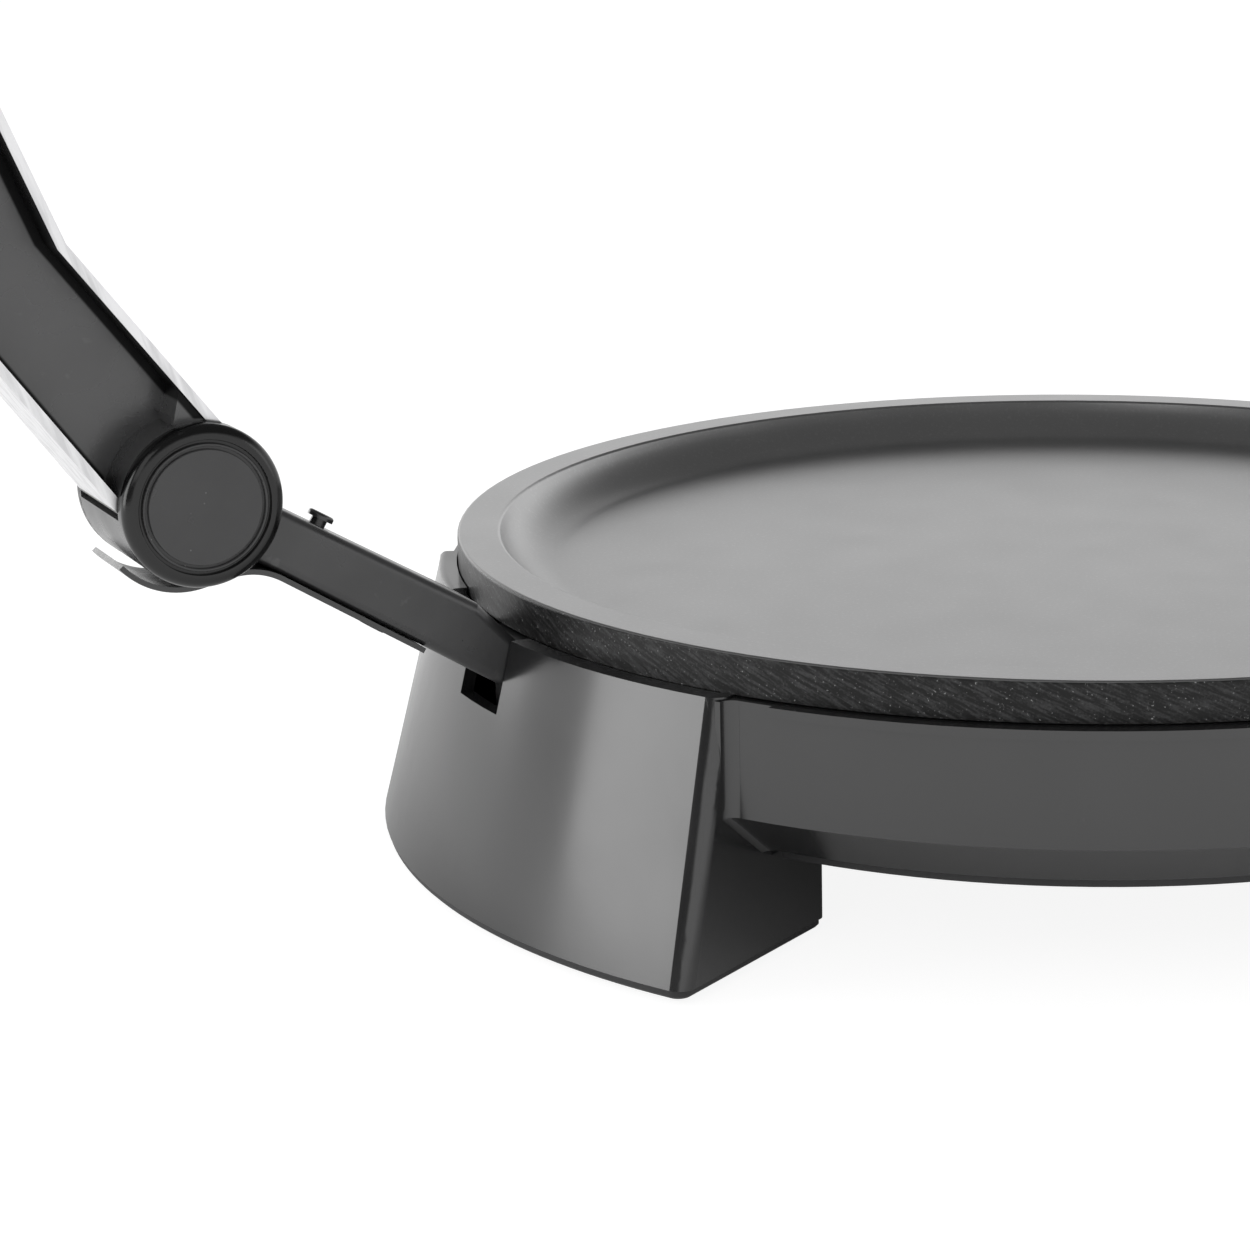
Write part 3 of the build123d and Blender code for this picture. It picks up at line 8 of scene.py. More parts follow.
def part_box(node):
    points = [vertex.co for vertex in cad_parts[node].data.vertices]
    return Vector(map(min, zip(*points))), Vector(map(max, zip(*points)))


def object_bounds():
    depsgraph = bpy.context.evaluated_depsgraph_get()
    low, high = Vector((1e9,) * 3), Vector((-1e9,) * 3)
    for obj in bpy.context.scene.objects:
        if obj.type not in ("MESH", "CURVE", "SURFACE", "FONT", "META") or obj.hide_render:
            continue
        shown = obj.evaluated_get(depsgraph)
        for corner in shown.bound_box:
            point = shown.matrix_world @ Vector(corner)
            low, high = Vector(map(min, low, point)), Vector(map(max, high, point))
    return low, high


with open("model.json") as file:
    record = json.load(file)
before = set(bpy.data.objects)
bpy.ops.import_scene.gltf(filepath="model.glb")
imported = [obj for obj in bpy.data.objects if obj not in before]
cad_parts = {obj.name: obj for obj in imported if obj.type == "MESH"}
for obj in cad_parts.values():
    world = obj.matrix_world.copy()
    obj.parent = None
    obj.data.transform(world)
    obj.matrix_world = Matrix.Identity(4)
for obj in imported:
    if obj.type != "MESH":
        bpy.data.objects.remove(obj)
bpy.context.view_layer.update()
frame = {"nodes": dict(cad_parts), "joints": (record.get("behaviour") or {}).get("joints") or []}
scene = bpy.context.scene
nodes = frame["nodes"]

# Base housing. One gloss black ABS moulding of the bowl, the two feet, the posts and the arm's seat. It
# is injection moulded in a polished tool, so it shows soft reflections, a fine flow ripple, faint wiping
# marks and a little dust.
housing_black = (0.013, 0.013, 0.0135)
housing_roughness = 0.17
shade_size = 0.035          # metres across the faint lighter and darker patches
wiping_size = 0.012
wiping_stretch = (1, 0.3, 0.3)
wiping_turn = (0.3, 0.2, 0.6)
wiping_marks = 0.09         # how much duller the wiped patches are
ripple_size = 0.02
ripple_depth = 0.00004
orange_peel_size = 0.0007
orange_peel_depth = 0.000006
dust_spacing = 0.0045
dust_radius = 0.05          # of a speck, as a share of the spacing
dust_patch_size = 0.02
dust_share = 0.05
dust_grey = (0.6, 0.6, 0.6)


def tinted(colour, factor):
    """Colour made lighter or darker."""
    return tuple(channel * factor for channel in colour)


class NodeTree:
    """Short calls that add shader nodes to the tree of a finish, of the paper or of the world."""

    def __init__(self, tree):
        self.tree = tree

    def node(self, kind, operation=None):
        """New node of one kind, set to one of its operations where it has several."""
        node = self.tree.nodes.new("ShaderNode" + kind)
        if operation:
            node.operation = operation
        return node

    def feed(self, node, name, value):
        """Connects a socket, or sets a plain value, on one input of a node."""
        if isinstance(value, bpy.types.NodeSocket):
            self.tree.links.new(value, node.inputs[name])
        else:
            node.inputs[name].default_value = value

    def maths(self, operation, first, second=0.0):
        """One arithmetic step on two values."""
        step = self.node("Math", operation)
        self.feed(step, 0, first)
        self.feed(step, 1, second)
        return step.outputs["Value"]

    def diagonal(self, width, height):
        """Length across two sides at right angles: the root of the sum of their squares."""
        squares = [self.maths("MULTIPLY", side, side) for side in (width, height)]
        return self.maths("SQRT", self.maths("ADD", *squares))

    def axes(self, place):
        """X, Y and Z of a vector."""
        split = self.node("SeparateXYZ")
        self.feed(split, "Vector", place)
        return split.outputs

    def ramp(self, value, start, end, low, high):
        """Value stretched from one range to another and held at its ends."""
        stretch = self.node("MapRange")
        self.feed(stretch, "Value", value)
        self.feed(stretch, "From Min", start)
        self.feed(stretch, "From Max", end)
        self.feed(stretch, "To Min", low)
        self.feed(stretch, "To Max", high)
        return stretch.outputs["Result"]


class Finish(NodeTree):
    """Principled material whose inputs are fed by noises in the object's own coordinates."""

    def __init__(self, name, metallic=0.0, specular=0.5):
        self.material = bpy.data.materials.new(name)
        self.material.use_nodes = True
        super().__init__(self.material.node_tree)
        self.shader = self.tree.nodes["Principled BSDF"]
        self.feed(self.shader, "Metallic", metallic)
        self.feed(self.shader, "Specular IOR Level", specular)
        self.place = self.node("TexCoord").outputs["Object"]
        self.normal = None

    def stretched(self, stretch, turn=(0, 0, 0), place=None):
        """Coordinates scaled along their axes after a turn."""
        mapping = self.node("Mapping")
        self.feed(mapping, "Vector", place or self.place)
        self.feed(mapping, "Rotation", turn)
        self.feed(mapping, "Scale", stretch)
        return mapping.outputs["Vector"]

    def noise(self, size, detail=3.0, place=None):
        """Cloudy value from 0 to 1 whose features are about this many metres across."""
        cloud = self.node("TexNoise")
        self.feed(cloud, "Vector", place or self.place)
        self.feed(cloud, "Scale", 1.0 / size)
        self.feed(cloud, "Detail", detail)
        return cloud.outputs["Fac"]

    def spread(self, noise, low, high):
        """Noise with its usual range, 0.3 to 0.7, stretched from low to high."""
        return self.ramp(noise, 0.3, 0.7, low, high)

    def specks(self, spacing, radius):
        """1 on small round spots this far apart, 0 between them."""
        cells = self.node("TexVoronoi")
        self.feed(cells, "Vector", self.place)
        self.feed(cells, "Scale", 1.0 / spacing)
        return self.ramp(cells.outputs["Distance"], radius, radius * 0.5, 0.0, 1.0)

    def blend(self, factor, first, second):
        """Colour between two colours, each a triple or a socket."""
        mix = self.node("Mix")
        mix.data_type = "RGBA"
        self.feed(mix, "Factor", factor)
        for name, colour in (("A", first), ("B", second)):
            socket = next(s for s in mix.inputs if s.name == name and s.type == "RGBA")
            if isinstance(colour, bpy.types.NodeSocket):
                self.tree.links.new(colour, socket)
            else:
                socket.default_value = (*colour, 1.0)
        return next(s for s in mix.outputs if s.type == "RGBA")

    def shaded(self, factor, colour, dark, light):
        """One colour, varied from a darker to a lighter share of itself."""
        return self.blend(factor, tinted(colour, dark), tinted(colour, light))

    def colour(self, value):
        """Colours the shader; a later layer may cover part of what is kept here."""
        self.painted = value
        self.feed(self.shader, "Base Color", value)

    def roughness(self, value):
        """Sets the shader's roughness, kept for a later layer in the same way."""
        self.rough = value
        self.feed(self.shader, "Roughness", value)

    def relief(self, height, depth, strength=1.0):
        """Adds a bump of this depth in metres on top of the ones before."""
        bump = self.node("Bump")
        self.feed(bump, "Height", height)
        self.feed(bump, "Distance", depth)
        self.feed(bump, "Strength", strength)
        if self.normal:
            self.feed(bump, "Normal", self.normal)
        self.normal = bump.outputs["Normal"]
        self.feed(self.shader, "Normal", self.normal)

    def coat(self, *names):
        """Puts the finish on CAD nodes."""
        for name in names:
            nodes[name].data.materials.clear()
            nodes[name].data.materials.append(self.material)


def gloss_black(name):
    """Polished black moulding with flow ripple, wiping marks and dust."""
    gloss = Finish(name, specular=1.0)
    clean = gloss.shaded(gloss.spread(gloss.noise(shade_size), 0, 1), housing_black, 0.9, 1.15)
    settled = gloss.ramp(gloss.noise(dust_patch_size), 0.5, 0.7, 0, dust_share)
    dust = gloss.maths("MULTIPLY", gloss.specks(dust_spacing, dust_radius), settled)
    gloss.colour(gloss.blend(dust, clean, dust_grey))
    wiped = gloss.noise(wiping_size, 5.0, gloss.stretched(wiping_stretch, wiping_turn))
    gloss.roughness(gloss.ramp(wiped, 0.35, 0.75, housing_roughness, housing_roughness + wiping_marks))
    gloss.relief(gloss.noise(ripple_size, 1.0), ripple_depth, 0.5)
    gloss.relief(gloss.noise(orange_peel_size, 2.0), orange_peel_depth, 0.5)
    return gloss


gloss_black("housing_gloss_black").coat("base_housing")

# Bottom cover and foot covers. Black ABS plates with a spark-eroded grain, screwed on from below.
# The grain scatters light, so they look dull and even.
cover_black = (0.035, 0.035, 0.036)
cover_roughness = 0.5
mottle_size = 0.025         # metres across the faint lighter and darker patches
sheen_size = 0.01
sheen_spread = 0.06         # how far the roughness strays to each side
grain_size = 0.0005
grain_depth = 0.00005


def grained_moulding(name, colour, roughness):
    """Dull moulding with an eroded grain."""
    grained = Finish(name)
    grained.colour(grained.shaded(grained.noise(mottle_size), colour, 0.8, 1.2))
    sheen = grained.noise(sheen_size)
    grained.roughness(grained.spread(sheen, roughness - sheen_spread, roughness + sheen_spread))
    grained.relief(grained.noise(grain_size), grain_depth)
    return grained


grained_moulding("cover_grained_black", cover_black, cover_roughness).coat(
    "base_bottom_cover", "rear_foot_cover", "front_foot_cover",
)

# Foot pads and cord bush. Soft black rubber, moulded; the pads are scuffed grey where they stand on
# the counter, the bush has a faint bloom.
rubber_black = (0.028, 0.028, 0.029)
rubber_scuff = (0.12, 0.12, 0.115)
scuff_size = 0.004
pad_scuffed = 0.7           # share of the scuff's colour in the scuffed patches
bush_bloomed = 0.25
rubber_roughness = (0.7, 0.88)
rubber_grip_size = 0.003
rubber_grain_size = 0.0003
rubber_grain_depth = 0.00004


def scuffed_rubber(name, scuffed):
    """Matt rubber with scuffed patches."""
    rubber = Finish(name, specular=0.3)
    patches = rubber.ramp(rubber.noise(scuff_size, 5.0), 0.52, 0.66, 0.0, scuffed)
    rubber.colour(rubber.blend(patches, rubber_black, rubber_scuff))
    rubber.roughness(rubber.spread(rubber.noise(rubber_grip_size), *rubber_roughness))
    rubber.relief(rubber.noise(rubber_grain_size), rubber_grain_depth)
    return rubber


scuffed_rubber("pad_rubber_scuffed", pad_scuffed).coat("foot_pads")
scuffed_rubber("bush_rubber_bloomed", bush_bloomed).coat("cord_bush")

# Screws, nuts and the pivot pin's clips. Bought-in steel fasteners that hold the pieces together. Their
# thin bright zinc plating has yellowed in patches and carries fine marks.
zinc_bright = (0.62, 0.63, 0.64)
zinc_yellowed = (0.52, 0.49, 0.42)
zinc_roughness = 0.32
aged_size = 0.002
handling_size = 0.0008
tool_mark_size = 0.0003
tool_mark_depth = 0.00001


def handled_metal(name, bright, aged, roughness):
    """Bright metal with aged patches and fine marks."""
    metal = Finish(name, metallic=1.0)
    patches = metal.ramp(metal.noise(aged_size, 4.0), 0.4, 0.65, 0, 1)
    metal.colour(metal.blend(patches, bright, aged))
    handled = metal.noise(handling_size, 4.0)
    metal.roughness(metal.spread(handled, roughness - 0.08, roughness + 0.1))
    metal.relief(metal.noise(tool_mark_size), tool_mark_depth)
    return metal


handled_metal("screw_zinc_plated", zinc_bright, zinc_yellowed, zinc_roughness).coat(
    "lower_plate_screws", "bottom_cover_screws", "foot_cover_screws", "terminal_block_screws",
    "arm_root_screws", "lower_shield_nuts", "upper_shield_nuts", "lower_fuse_screw", "upper_fuse_screw",
    "upper_plate_screws", "pivot_clips", "grip_screws", "bracket_screws",
)

# Lower and upper plates. Aluminium castings with a satin non-stick coat full of metal flake, held by
# screws from behind. The outer side of the lower one's rim is coarsely linished on a slant and blackened,
# so it is darker and rough, and its brightest pits carry painted glints of light grey.
coat_grey = (0.46, 0.46, 0.462)
coat_metal = 0.98
coat_specular = 0.7
coat_roughness = 0.3
haze_size = 0.03            # metres across the patches of cooking haze
haze_tint = 0.025           # how much lighter or darker they make the coat
smear_size = 0.015
flake_size = 0.0007
flake_depth = 0.00001
flake_glint = 1.6
flake_share = 0.2
band_dark = (0.007, 0.007, 0.007)
band_bright = (0.05, 0.05, 0.051)
# painted glint: a light grey laid on the brightest pits in place of real sparkle
band_painted_glint = (0.4, 0.4, 0.4)
band_specular = 0.3
band_dulling = 0.1
band_depth = 0.00008
band_inset = (0.0005, 0.0002)       # inside the rim's radius, where the band starts and is whole
band_top_inset = 0.0001     # the band ends this far under the top of the rim
band_top_fade = 0.0002
band_run = 2.0              # how far the linishing marks run along the rim for each metre of fall
mark_size = 0.0006
mark_squeeze = (0.45, 0.3)  # along the rim and down it, below 1 for longer marks
mark_share = 0.7            # of the marks in the relief, beside the pits
pit_size = 0.0004


def plate_coat(name, specular):
    """Non-stick coat with fine flake and cooking haze."""
    coated = Finish(name, coat_metal, specular)
    haze = coated.spread(coated.noise(haze_size, 4.0), 0, 1)
    hazed = coated.shaded(haze, coat_grey, 1 - haze_tint, 1 + haze_tint)
    flake = coated.noise(flake_size, 2.0)
    glints = coated.ramp(flake, 0.56, 0.72, 0, flake_share)
    coated.colour(coated.blend(glints, hazed, tinted(coat_grey, flake_glint)))
    smears = coated.noise(smear_size, 4.0)
    coated.roughness(coated.spread(smears, coat_roughness - 0.01, coat_roughness + 0.015))
    coated.relief(flake, flake_depth)
    return coated


def linished_rim(coated, radius, top):
    """Covers the outer side of a rim, below its top, with coarse slanting marks and pits, the brightest pits
    painted grey as painted glints.

    A mark is a noise read at the way round the rim plus a share of the height, and at the height, so
    that it slants.
    """
    x, y, z = coated.axes(coated.place)
    edge_start, edge_end = (radius - inset for inset in band_inset)
    outside = coated.ramp(coated.diagonal(x, y), edge_start, edge_end, 0, 1)
    band = coated.maths("MULTIPLY", outside, coated.ramp(z, top - band_top_fade, top, 1, 0))
    way_round = coated.maths("MULTIPLY", coated.maths("ARCTAN2", y, x), radius)
    slanted = coated.maths("ADD", way_round, coated.maths("MULTIPLY", z, band_run))
    mark_place = coated.node("CombineXYZ")
    for axis, length, squeeze in zip("XY", (slanted, z), mark_squeeze):
        coated.feed(mark_place, axis, coated.maths("MULTIPLY", length, squeeze))
    marks = coated.noise(mark_size, 4.0, mark_place.outputs["Vector"])
    pits = coated.noise(pit_size)
    rasp = coated.maths(
        "ADD", coated.maths("MULTIPLY", marks, mark_share), coated.maths("MULTIPLY", pits, 1 - mark_share),
    )
    blackened = coated.blend(coated.ramp(rasp, 0.46, 0.62, 0, 1), band_dark, band_bright)
    # painted glints: the brightest pits are coloured light grey
    with_painted_glints = coated.blend(coated.ramp(pits, 0.68, 0.74, 0, 1), blackened, band_painted_glint)
    coated.colour(coated.blend(band, coated.painted, with_painted_glints))
    coated.roughness(coated.maths("ADD", coated.rough, coated.maths("MULTIPLY", band, band_dulling)))
    coated.feed(coated.shader, "Metallic", coated.ramp(band, 0, 1, coat_metal, 0))
    coated.relief(coated.maths("MULTIPLY", rasp, band), band_depth)


# the lower plate takes the band's specular level all over, because a metallic coat hardly shows it
rim_radius, _, rim_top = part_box("lower_plate")[1]
lower_coat = plate_coat("plate_coat_satin", band_specular)
linished_rim(lower_coat, rim_radius, rim_top - band_top_inset)
lower_coat.coat("lower_plate")
plate_coat("upper_plate_coat_satin", coat_specular).coat("upper_plate")

# Heating elements. Steel tubes bent to a ring, with a drawn surface. They lie behind the plates under
# the heat shields, and the heat has blued and browned them in patches.
tube_steel = (0.36, 0.34, 0.32)
tube_brown = (0.2, 0.14, 0.1)
tube_blue = (0.14, 0.17, 0.24)
tint_size = 0.012
tube_roughness = (0.35, 0.5)
tube_patch_size = 0.002
drawing_mark_size = 0.0004
drawing_mark_depth = 0.00002
element_heat = Finish("element_heat_tinted", metallic=1.0)
heat_tint = element_heat.noise(tint_size)
browned = element_heat.blend(element_heat.ramp(heat_tint, 0.42, 0.6, 0, 1), tube_steel, tube_brown)
element_heat.colour(element_heat.blend(element_heat.ramp(heat_tint, 0.6, 0.72, 0, 1), browned, tube_blue))
element_heat.roughness(element_heat.spread(element_heat.noise(tube_patch_size), *tube_roughness))
element_heat.relief(element_heat.noise(drawing_mark_size), drawing_mark_depth)
element_heat.coat("lower_element", "upper_element")

# Heat shields and fuse clips. Bright aluminium sheet, pressed and held by nuts or a screw, with rolling
# lines along one direction.
sheet_bright = (0.74, 0.74, 0.75)
rolling_size = 0.0006
rolling_stretch = (1, 0.04, 1)
rolling_depth = 0.00001
sheet_roughness = (0.24, 0.42)
shield_sheet = Finish("shield_rolled_aluminium", metallic=1.0)
rolling = shield_sheet.noise(rolling_size, place=shield_sheet.stretched(rolling_stretch))
shield_sheet.colour(shield_sheet.shaded(rolling, sheet_bright, 0.85, 1))
shield_sheet.roughness(shield_sheet.spread(rolling, *sheet_roughness))
shield_sheet.relief(rolling, rolling_depth)
shield_sheet.coat("lower_heat_shield", "upper_heat_shield", "lower_fuse_clip", "upper_fuse_clip")

# Thermostat and thermal fuses. Small drawn metal cans, pressed against the plates by the heat shield and
# by the clips. They are satin, with handling marks.
can_bright = (0.6, 0.6, 0.61)
can_handled = (0.45, 0.44, 0.43)
can_roughness = 0.4
handled_metal("can_satin_drawn", can_bright, can_handled, can_roughness).coat(
    "thermostat", "lower_thermal_fuse", "upper_thermal_fuse",
)

# Terminal block. A cream urea moulding, slightly mottled, screwed to the bottom cover. Its surface has
# the same eroded grain as the covers.
block_cream = (0.72, 0.68, 0.58)
block_roughness = 0.45
grained_moulding("terminal_cream_urea", block_cream, block_roughness).coat("terminal_block")

# Indicator lamps. Polycarbonate lenses tinted red and green, pushed into the front foot from outside.
# They have a faint inner haze and pass a little light.
lens_red = (0.55, 0.02, 0.015)
lens_green = (0.03, 0.42, 0.07)
lens_clearness = 0.35
lens_haze_size = 0.003
lens_roughness = (0.08, 0.2)
lens_patch_size = 0.002
lens_ripple_size = 0.0012
lens_ripple_depth = 0.00002


def tinted_lens(name, colour):
    """Glossy tinted lens."""
    lens = Finish(name)
    lens.colour(lens.shaded(lens.noise(lens_haze_size), colour, 0.8, 1.15))
    lens.roughness(lens.spread(lens.noise(lens_patch_size), *lens_roughness))
    lens.feed(lens.shader, "Transmission Weight", lens_clearness)
    lens.relief(lens.noise(lens_ripple_size), lens_ripple_depth)
    return lens


tinted_lens("power_lens_red", lens_red).coat("power_lamp")
tinted_lens("ready_lens_green", lens_green).coat("ready_lamp")

# Lower arm and its stud. A solid metal casting, screwed into the rear foot and enamelled satin black.
# The enamel follows the casting's slight waviness and is rubbed thin in small spots.
enamel_black = (0.03, 0.03, 0.031)
enamel_thin = (0.1, 0.1, 0.102)
enamel_specular = 0.85
enamel_shade_size = 0.028
enamel_patch_size = 0.009
rubbed_size = 0.0035
waviness_size = 0.01
waviness_depth = 0.00012
stipple_size = 0.0009
stipple_depth = 0.000018
arm_roughness = 0.3
arm_rubbed = 0.5            # how much of the thin colour the rubbed spots show


def black_enamel(name, roughness, rubbed, specular=enamel_specular):
    """Satin enamel over a casting."""
    enamel = Finish(name, specular=specular)
    shade = enamel.spread(enamel.noise(enamel_shade_size), 0, 1)
    thick = enamel.shaded(shade, enamel_black, 0.85, 1.2)
    worn = enamel.ramp(enamel.noise(rubbed_size, 6.0), 0.66, 0.74, 0.0, rubbed)
    enamel.colour(enamel.blend(worn, thick, enamel_thin))
    patches = enamel.noise(enamel_patch_size, 4.0)
    enamel.roughness(enamel.spread(patches, roughness - 0.05, roughness + 0.07))
    enamel.relief(enamel.noise(waviness_size, 2.0), waviness_depth, 0.6)
    enamel.relief(enamel.noise(stipple_size), stipple_depth, 0.8)
    return enamel


black_enamel("arm_enamel_satin", arm_roughness, arm_rubbed).coat("lower_arm", "arm_stud")

# Guard strip. Spring steel sheet, bent round the hinge barrel and held by one blackened screw. It is
# enamelled like the arm, a little glossier.
guard_roughness = 0.26
guard_rubbed = 0.3
black_enamel("guard_enamel_smooth", guard_roughness, guard_rubbed).coat("cable_guard", "guard_screw")

# Thrust washers. White low-friction plastic rings, moulded, one on each side of the lower arm's hub and
# loose on the hinge pin.
washer_white = (0.78, 0.78, 0.75)
washer_roughness = 0.4
grained_moulding("washer_white_acetal", washer_white, washer_roughness).coat("hinge_washers")

# Lid bracket. An aluminium casting in the same enamel as the arms, screwed on the lid, which it hangs
# from the beam by the pivot pin.
cast_roughness = 0.28
cast_rubbed = 0.4
black_enamel("bracket_enamel_satin", cast_roughness, cast_rubbed).coat("lid_bracket")

# Upper arm. An aluminium casting, enamelled like the bracket. The outer faces and the edges of its beam's
# two flanges are then linished bare on a belt, so they are bright with grey streaks along the beam. In the
# corners beside the flanges the enamel is painted near black with a low specular level, as painted shade.
bare_bright = (0.86, 0.86, 0.87)
bare_grey = (0.7, 0.7, 0.71)
bare_depth = 0.0003         # how deep the bare finish reaches from the surface
bare_dulling = 0.12
web_paleness = 0.035        # share of the bare metal's colour in the beam's enamel
painted_shade_reach = 0.0029       # from a flange's outer face to the end of the painted shade in the corner beside it
painted_shade_fade = 0.0004
# painted shade: the near-black colour laid in the corners beside the flanges, where shade falls
painted_corner_shade = tinted(enamel_black, 0.2)
beam_specular = 1.0
painted_shade_specular = 0.12
barrel_reach = 0.0136       # the barrel keeps its enamel this far from the hinge line
barrel_fade = 0.0003
flange_inset = 0.00085      # the flanges' edges stand this far inside the barrel's ends
streak_size = 0.0012
streak_stretch = (0.1, 1, 1)
streak_turn = (0, 0.33, 0)  # lays the streaks along the part of the beam before its bend
# each outline in the beam's own plane: a point at its root, its bend and its slope in degrees past that
beam_top = ((-0.0018, 0.0109), (0.046, 0.0265), 2.7)
beam_underside = ((0.00635, -0.00976), (0.0476, 0.0048), 4.4)

lid_hinge = next(joint for joint in frame["joints"] if joint["name"] == "lid_hinge")
hinge_x, _, hinge_z = lid_hinge["pos_m"]
closing_turn = radians(lid_hinge["range_deg"][1])
beam = black_enamel("beam_enamel_linished", cast_roughness, cast_rubbed, beam_specular)
# coordinates along, across and above the beam from the hinge line, as it lies when the lid is closed
beam_mapping = beam.node("Mapping")
beam_mapping.vector_type = "TEXTURE"
beam.feed(beam_mapping, "Vector", beam.place)
beam.feed(beam_mapping, "Location", (hinge_x, 0, hinge_z))
beam.feed(beam_mapping, "Rotation", (0, -closing_turn, 0))
beam_place = beam_mapping.outputs["Vector"]
along, across, above = beam.axes(beam_place)


def above_edge(root, bend, far_slope):
    """Height above an outline: above the lower of the two lines through its bend."""
    lines = []
    for slope in ((bend[1] - root[1]) / (bend[0] - root[0]), tan(radians(far_slope))):
        rise = beam.maths("MULTIPLY", beam.maths("SUBTRACT", along, bend[0]), slope)
        lines.append(beam.maths("ADD", rise, bend[1]))
    return beam.maths("SUBTRACT", above, beam.maths("MINIMUM", *lines))


over_top = above_edge(*beam_top)
over_underside = above_edge(*beam_underside)
flange_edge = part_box("upper_arm")[1][1] - flange_inset
bare_top = beam.ramp(over_top, -bare_depth, -bare_depth / 2, 0, 1)
bare_underside = beam.ramp(beam.maths("ABSOLUTE", over_underside), bare_depth / 2, bare_depth, 1, 0)
bare_edges = beam.ramp(
    beam.maths("ABSOLUTE", across), flange_edge - bare_depth, flange_edge - bare_depth / 2, 0, 1,
)
off_barrel = beam.ramp(beam.diagonal(along, above), barrel_reach, barrel_reach + barrel_fade, 0, 1)
bare_faces = beam.maths("MAXIMUM", bare_top, bare_underside)
bare = beam.maths("MULTIPLY", beam.maths("MAXIMUM", bare_faces, bare_edges), off_barrel)
# masks of the painted shade in the corners beside the flanges, kept off the barrel
top_painted_shade = beam.ramp(over_top, -painted_shade_reach - painted_shade_fade, -painted_shade_reach, 0, 1)
bottom_painted_shade = beam.ramp(over_underside, painted_shade_reach, painted_shade_reach + painted_shade_fade, 1, 0)
painted_shade_corners = beam.maths("MULTIPLY", beam.maths("MAXIMUM", top_painted_shade, bottom_painted_shade), off_barrel)
streaks = beam.noise(streak_size, 5.0, beam.stretched(streak_stretch, streak_turn, beam_place))
linished = beam.blend(beam.ramp(streaks, 0.36, 0.56, 0, 1), bare_grey, bare_bright)
# the enamel, turned near black in the corners as painted shade
enamelled = beam.blend(painted_shade_corners, beam.blend(web_paleness, beam.painted, bare_bright), painted_corner_shade)
beam.colour(beam.blend(bare, enamelled, linished))
beam.roughness(beam.maths("ADD", beam.rough, beam.maths("MULTIPLY", bare, bare_dulling)))
beam.feed(beam.shader, "Metallic", bare)
# the painted shade in the corners also lowers the specular level there
beam.feed(beam.shader, "Specular IOR Level", beam.ramp(painted_shade_corners, 0, 1, beam_specular, painted_shade_specular))
beam.coat("upper_arm")

# Hinge caps. Black polypropylene discs that snap into the ends of the barrel. The face inside the ring
# grooves is finely textured and satin, with a few specks of dust; the rounded rim outside is polished and
# its colour is painted near black, a painted shade.
cap_black = (0.06, 0.06, 0.061)
# painted shade: the rim's near-black colour, on top of its real polish
cap_rim_painted_shade = tinted(cap_black, 0.12)
cap_rim_polish = 0.08       # how much smoother the rim is than the face
cap_face_radius = 0.0102    # the satin face ends on the land between the two grooves
cap_face_fade = 0.0004
cap_dust_spacing = 0.0032
cap_dust_radius = 0.06
cap_dust_share = 0.25
cap_dust_grey = (0.5, 0.5, 0.5)
cap_shade_size = 0.009
cap_patch_size = 0.006
cap_roughness = (0.22, 0.28)
cap_texture_size = 0.0004
cap_texture_depth = 0.00001
cap_satin = Finish("cap_satin_black")
cap_axes = cap_satin.axes(cap_satin.place)
from_hinge_line = cap_satin.diagonal(
    cap_satin.maths("SUBTRACT", cap_axes["X"], hinge_x), cap_satin.maths("SUBTRACT", cap_axes["Z"], hinge_z),
)
on_rim = cap_satin.ramp(from_hinge_line, cap_face_radius, cap_face_radius + cap_face_fade, 0, 1)
cap_moulding = cap_satin.shaded(cap_satin.noise(cap_shade_size, 4.0), cap_black, 0.85, 1.15)
cap_dust = cap_satin.maths("MULTIPLY", cap_satin.specks(cap_dust_spacing, cap_dust_radius), cap_dust_share)
cap_face = cap_satin.blend(cap_dust, cap_moulding, cap_dust_grey)
# the rim outside the face takes the painted shade colour
cap_satin.colour(cap_satin.blend(on_rim, cap_face, cap_rim_painted_shade))
face_roughness = cap_satin.spread(cap_satin.noise(cap_patch_size), *cap_roughness)
polish = cap_satin.maths("MULTIPLY", on_rim, cap_rim_polish)
cap_satin.roughness(cap_satin.maths("SUBTRACT", face_roughness, polish))
cap_satin.relief(cap_satin.noise(cap_texture_size), cap_texture_depth)
cap_satin.coat("near_hinge_cap", "far_hinge_cap")

# Hinge pin and pivot pin. Ground steel rods, bright and smooth with faint marks of handling. The hinge
# pin is pressed into the barrel, the pivot pin is held by its clips.
pin_bright = (0.6, 0.6, 0.62)
pin_handled = (0.5, 0.5, 0.51)
pin_roughness = 0.22
handled_metal("pin_ground_steel", pin_bright, pin_handled, pin_roughness).coat("hinge_pin", "pivot_pin")

# Grip. Two black moulded halves, screwed together round the arm's tang. Their fine grain stays dull and
# pleasant to the hand.
grip_black = (0.03, 0.03, 0.031)
grip_roughness = 0.42
grained_moulding("grip_grained_black", grip_black, grip_roughness).coat("grip_upper", "grip_lower")

# Upper cover. A gloss black ABS moulding like the base, dished over the upper plate and joined to it
# by the plate's screws.
gloss_black("lid_gloss_black").coat("upper_cover")

# Studio. The camera stands to the front left, a little above the plate, with a long lens; its place and
# turn were fitted to the photograph. White paper lies under and behind the object. Soft boxes stand at
# the left, behind and at the right, and the ceiling and the far left are dark in reflections.
camera_place = (-0.33358, -0.50342, 0.14661)
camera_heading = 28.02      # degrees from +Y towards +X
camera_tilt = -12.2         # degrees above the horizon
camera_roll = -0.72
sensor_width = 36.0
lens_length = 93.11
lens_shift = (-0.1168, -0.1276)
nearest_seen = 0.01

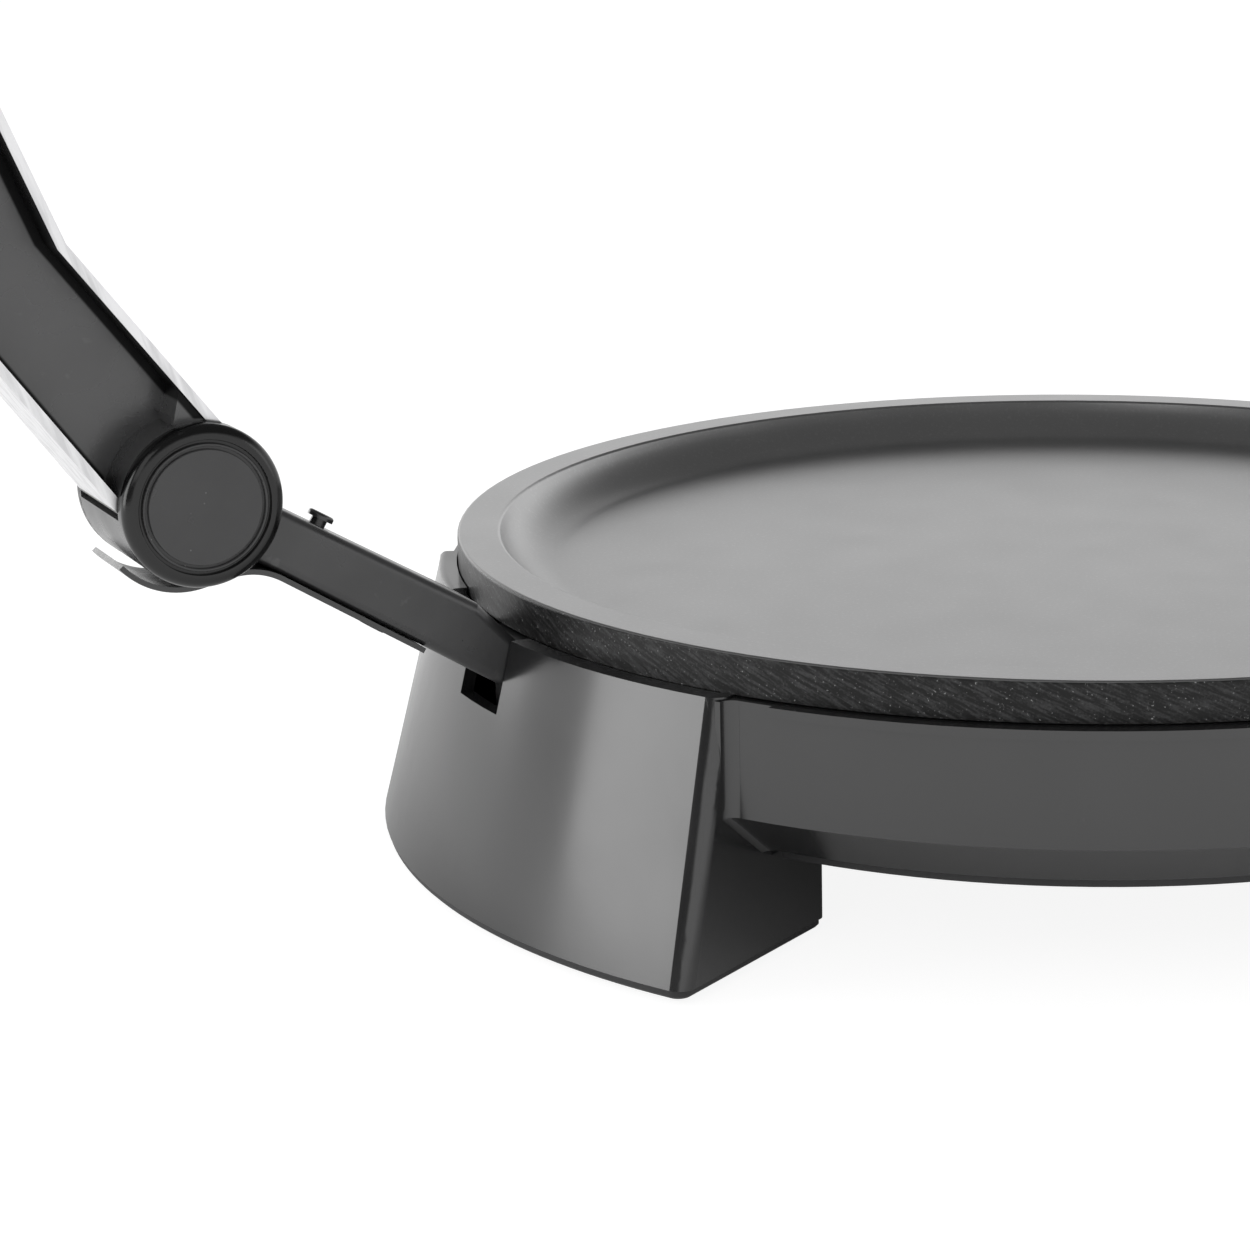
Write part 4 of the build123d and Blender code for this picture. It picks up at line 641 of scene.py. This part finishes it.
camera_data = bpy.data.cameras.new("camera")
camera_data.sensor_width = sensor_width
camera_data.lens = lens_length
camera_data.shift_x, camera_data.shift_y = lens_shift
camera_data.clip_start = nearest_seen
camera = bpy.data.objects.new("camera", camera_data)
camera.matrix_world = Matrix.Translation(camera_place)
for angle, axis in ((-camera_heading, "Z"), (90 + camera_tilt, "X"), (camera_roll, "Z")):
    camera.matrix_world = camera.matrix_world @ Matrix.Rotation(radians(angle), 4, axis)
scene.collection.objects.link(camera)
scene.camera = camera
scene.view_settings.view_transform = "Standard"


def seen_directly(tree, gloss_share=1.0):
    """1 for camera and transmission rays, a share for glossy rays, 0 for the rays that carry light."""
    rays = tree.node("LightPath").outputs
    in_gloss = tree.maths("MULTIPLY", rays["Is Glossy Ray"], gloss_share)
    seen = tree.maths("MAXIMUM", rays["Is Camera Ray"], in_gloss)
    return tree.maths("MAXIMUM", seen, rays["Is Transmission Ray"])


def show_blend(tree, output, factor, first, second):
    """Ends a tree with the blend of two of its shader nodes."""
    mix = tree.node("MixShader")
    for number, value in enumerate((factor, first.outputs[0], second.outputs[0])):
        tree.feed(mix, number, value)
    tree.feed(tree.node(output), "Surface", mix.outputs["Shader"])


# the surround lights the object; the white is what is seen, fading to dark overhead and at the far left
surround_strength = 0.55
white_strength = 1.0
dark_strength = 0.1
ceiling_heights = (0.26, 0.5)       # on the sphere of directions, where the white starts and ends its fade
dark_side = (-0.906, -0.423, 0.0)
dark_side_edge = (0.8, 0.93)        # cosines of the angle from it between which the white fades
studio_white = (1, 1, 1, 1)

world = bpy.data.worlds.new("studio")
scene.world = world
world.use_nodes = True
sky = NodeTree(world.node_tree)
sky.tree.nodes.clear()
direction = sky.node("TexCoord").outputs["Generated"]
under_ceiling = sky.ramp(sky.axes(direction)["Z"], *ceiling_heights, white_strength, dark_strength)
towards_dark = sky.node("VectorMath", "DOT_PRODUCT")
sky.feed(towards_dark, 0, direction)
sky.feed(towards_dark, 1, dark_side)
off_dark_side = sky.ramp(towards_dark.outputs["Value"], *dark_side_edge, white_strength, dark_strength)
to_camera = sky.node("LightPath").outputs["Is Camera Ray"]
surround = sky.node("Background")
white = sky.node("Background")
for background, strength in (
    (surround, surround_strength),
    (white, sky.maths("MAXIMUM", sky.maths("MULTIPLY", under_ceiling, off_dark_side), to_camera)),
):
    sky.feed(background, "Color", studio_white)
    sky.feed(background, "Strength", strength)
show_blend(sky, "OutputWorld", seen_directly(sky), surround, white)


def soft_box(name, place, aim, width, height, power):
    """Rectangular area lamp at a place, facing a point, with its sides in metres and power in watts."""
    data = bpy.data.lights.new(name, "AREA")
    data.shape = "RECTANGLE"
    data.size = width
    data.size_y = height
    data.energy = power
    lamp = bpy.data.objects.new(name, data)
    lamp.location = place
    lamp.rotation_euler = (Vector(aim) - Vector(place)).to_track_quat("-Z", "Y").to_euler()
    scene.collection.objects.link(lamp)


soft_box("left_box", (-1.22, 0.29, 0.28), (-0.12, -0.03, 0), 0.62, 0.75, 3.9)
soft_box("back_left_box", (-0.61, 1.18, 0.22), (-0.12, 0, 0), 0.9, 0.5, 3.5)
soft_box("left_high_box", (-1.0, -0.6, 0.7), (-0.1, 0, 0), 0.7, 0.7, 1.5)
soft_box("right_box", (1.1, -0.95, 0.33), (0, 0, 0), 0.5, 0.7, 0.8)

# the paper takes the object's shadow and glows white in part; glossy rays see less glow under the bowl, a
# painted shadow
sheet_half = 6.0
paper_colour = (0.9, 0.9, 0.9, 1)
floor_glow = 1.32
floor_glow_share = 0.68
gloss_glow_in_painted_shadow = 0.05                  # how much of the glow a glossy ray sees under the object, a painted shadow
gloss_beside = 0.85                 # and away from it
painted_shadow_radii = (0.11, 0.24)          # from the middle, between which it goes from one to the other

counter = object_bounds()[0][2]
corners = ((-1, -1), (1, -1), (1, 1), (-1, 1))
sheet_mesh = bpy.data.meshes.new("paper_sheet")
sheet_mesh.from_pydata([(sheet_half * x, sheet_half * y, counter) for x, y in corners], [], [(0, 1, 2, 3)])
sheet = bpy.data.objects.new("paper_sheet", sheet_mesh)
scene.collection.objects.link(sheet)
paper_white = bpy.data.materials.new("paper_white")
paper_white.use_nodes = True
sheet_mesh.materials.append(paper_white)
paper = NodeTree(paper_white.node_tree)
paper.tree.nodes.clear()
matt = paper.node("BsdfDiffuse")
paper.feed(matt, "Color", paper_colour)
glow = paper.node("Emission")
paper.feed(glow, "Strength", floor_glow)
from_middle = paper.node("VectorMath", "LENGTH")
paper.feed(from_middle, 0, paper.node("TexCoord").outputs["Object"])
# painted shadow: the glow seen by glossy rays is cut round the middle, under the object
gloss_share = paper.ramp(from_middle.outputs["Value"], *painted_shadow_radii, gloss_glow_in_painted_shadow, gloss_beside)
glowing = paper.maths("MULTIPLY", seen_directly(paper, gloss_share), floor_glow_share)
show_blend(paper, "OutputMaterial", glowing, matt, glow)
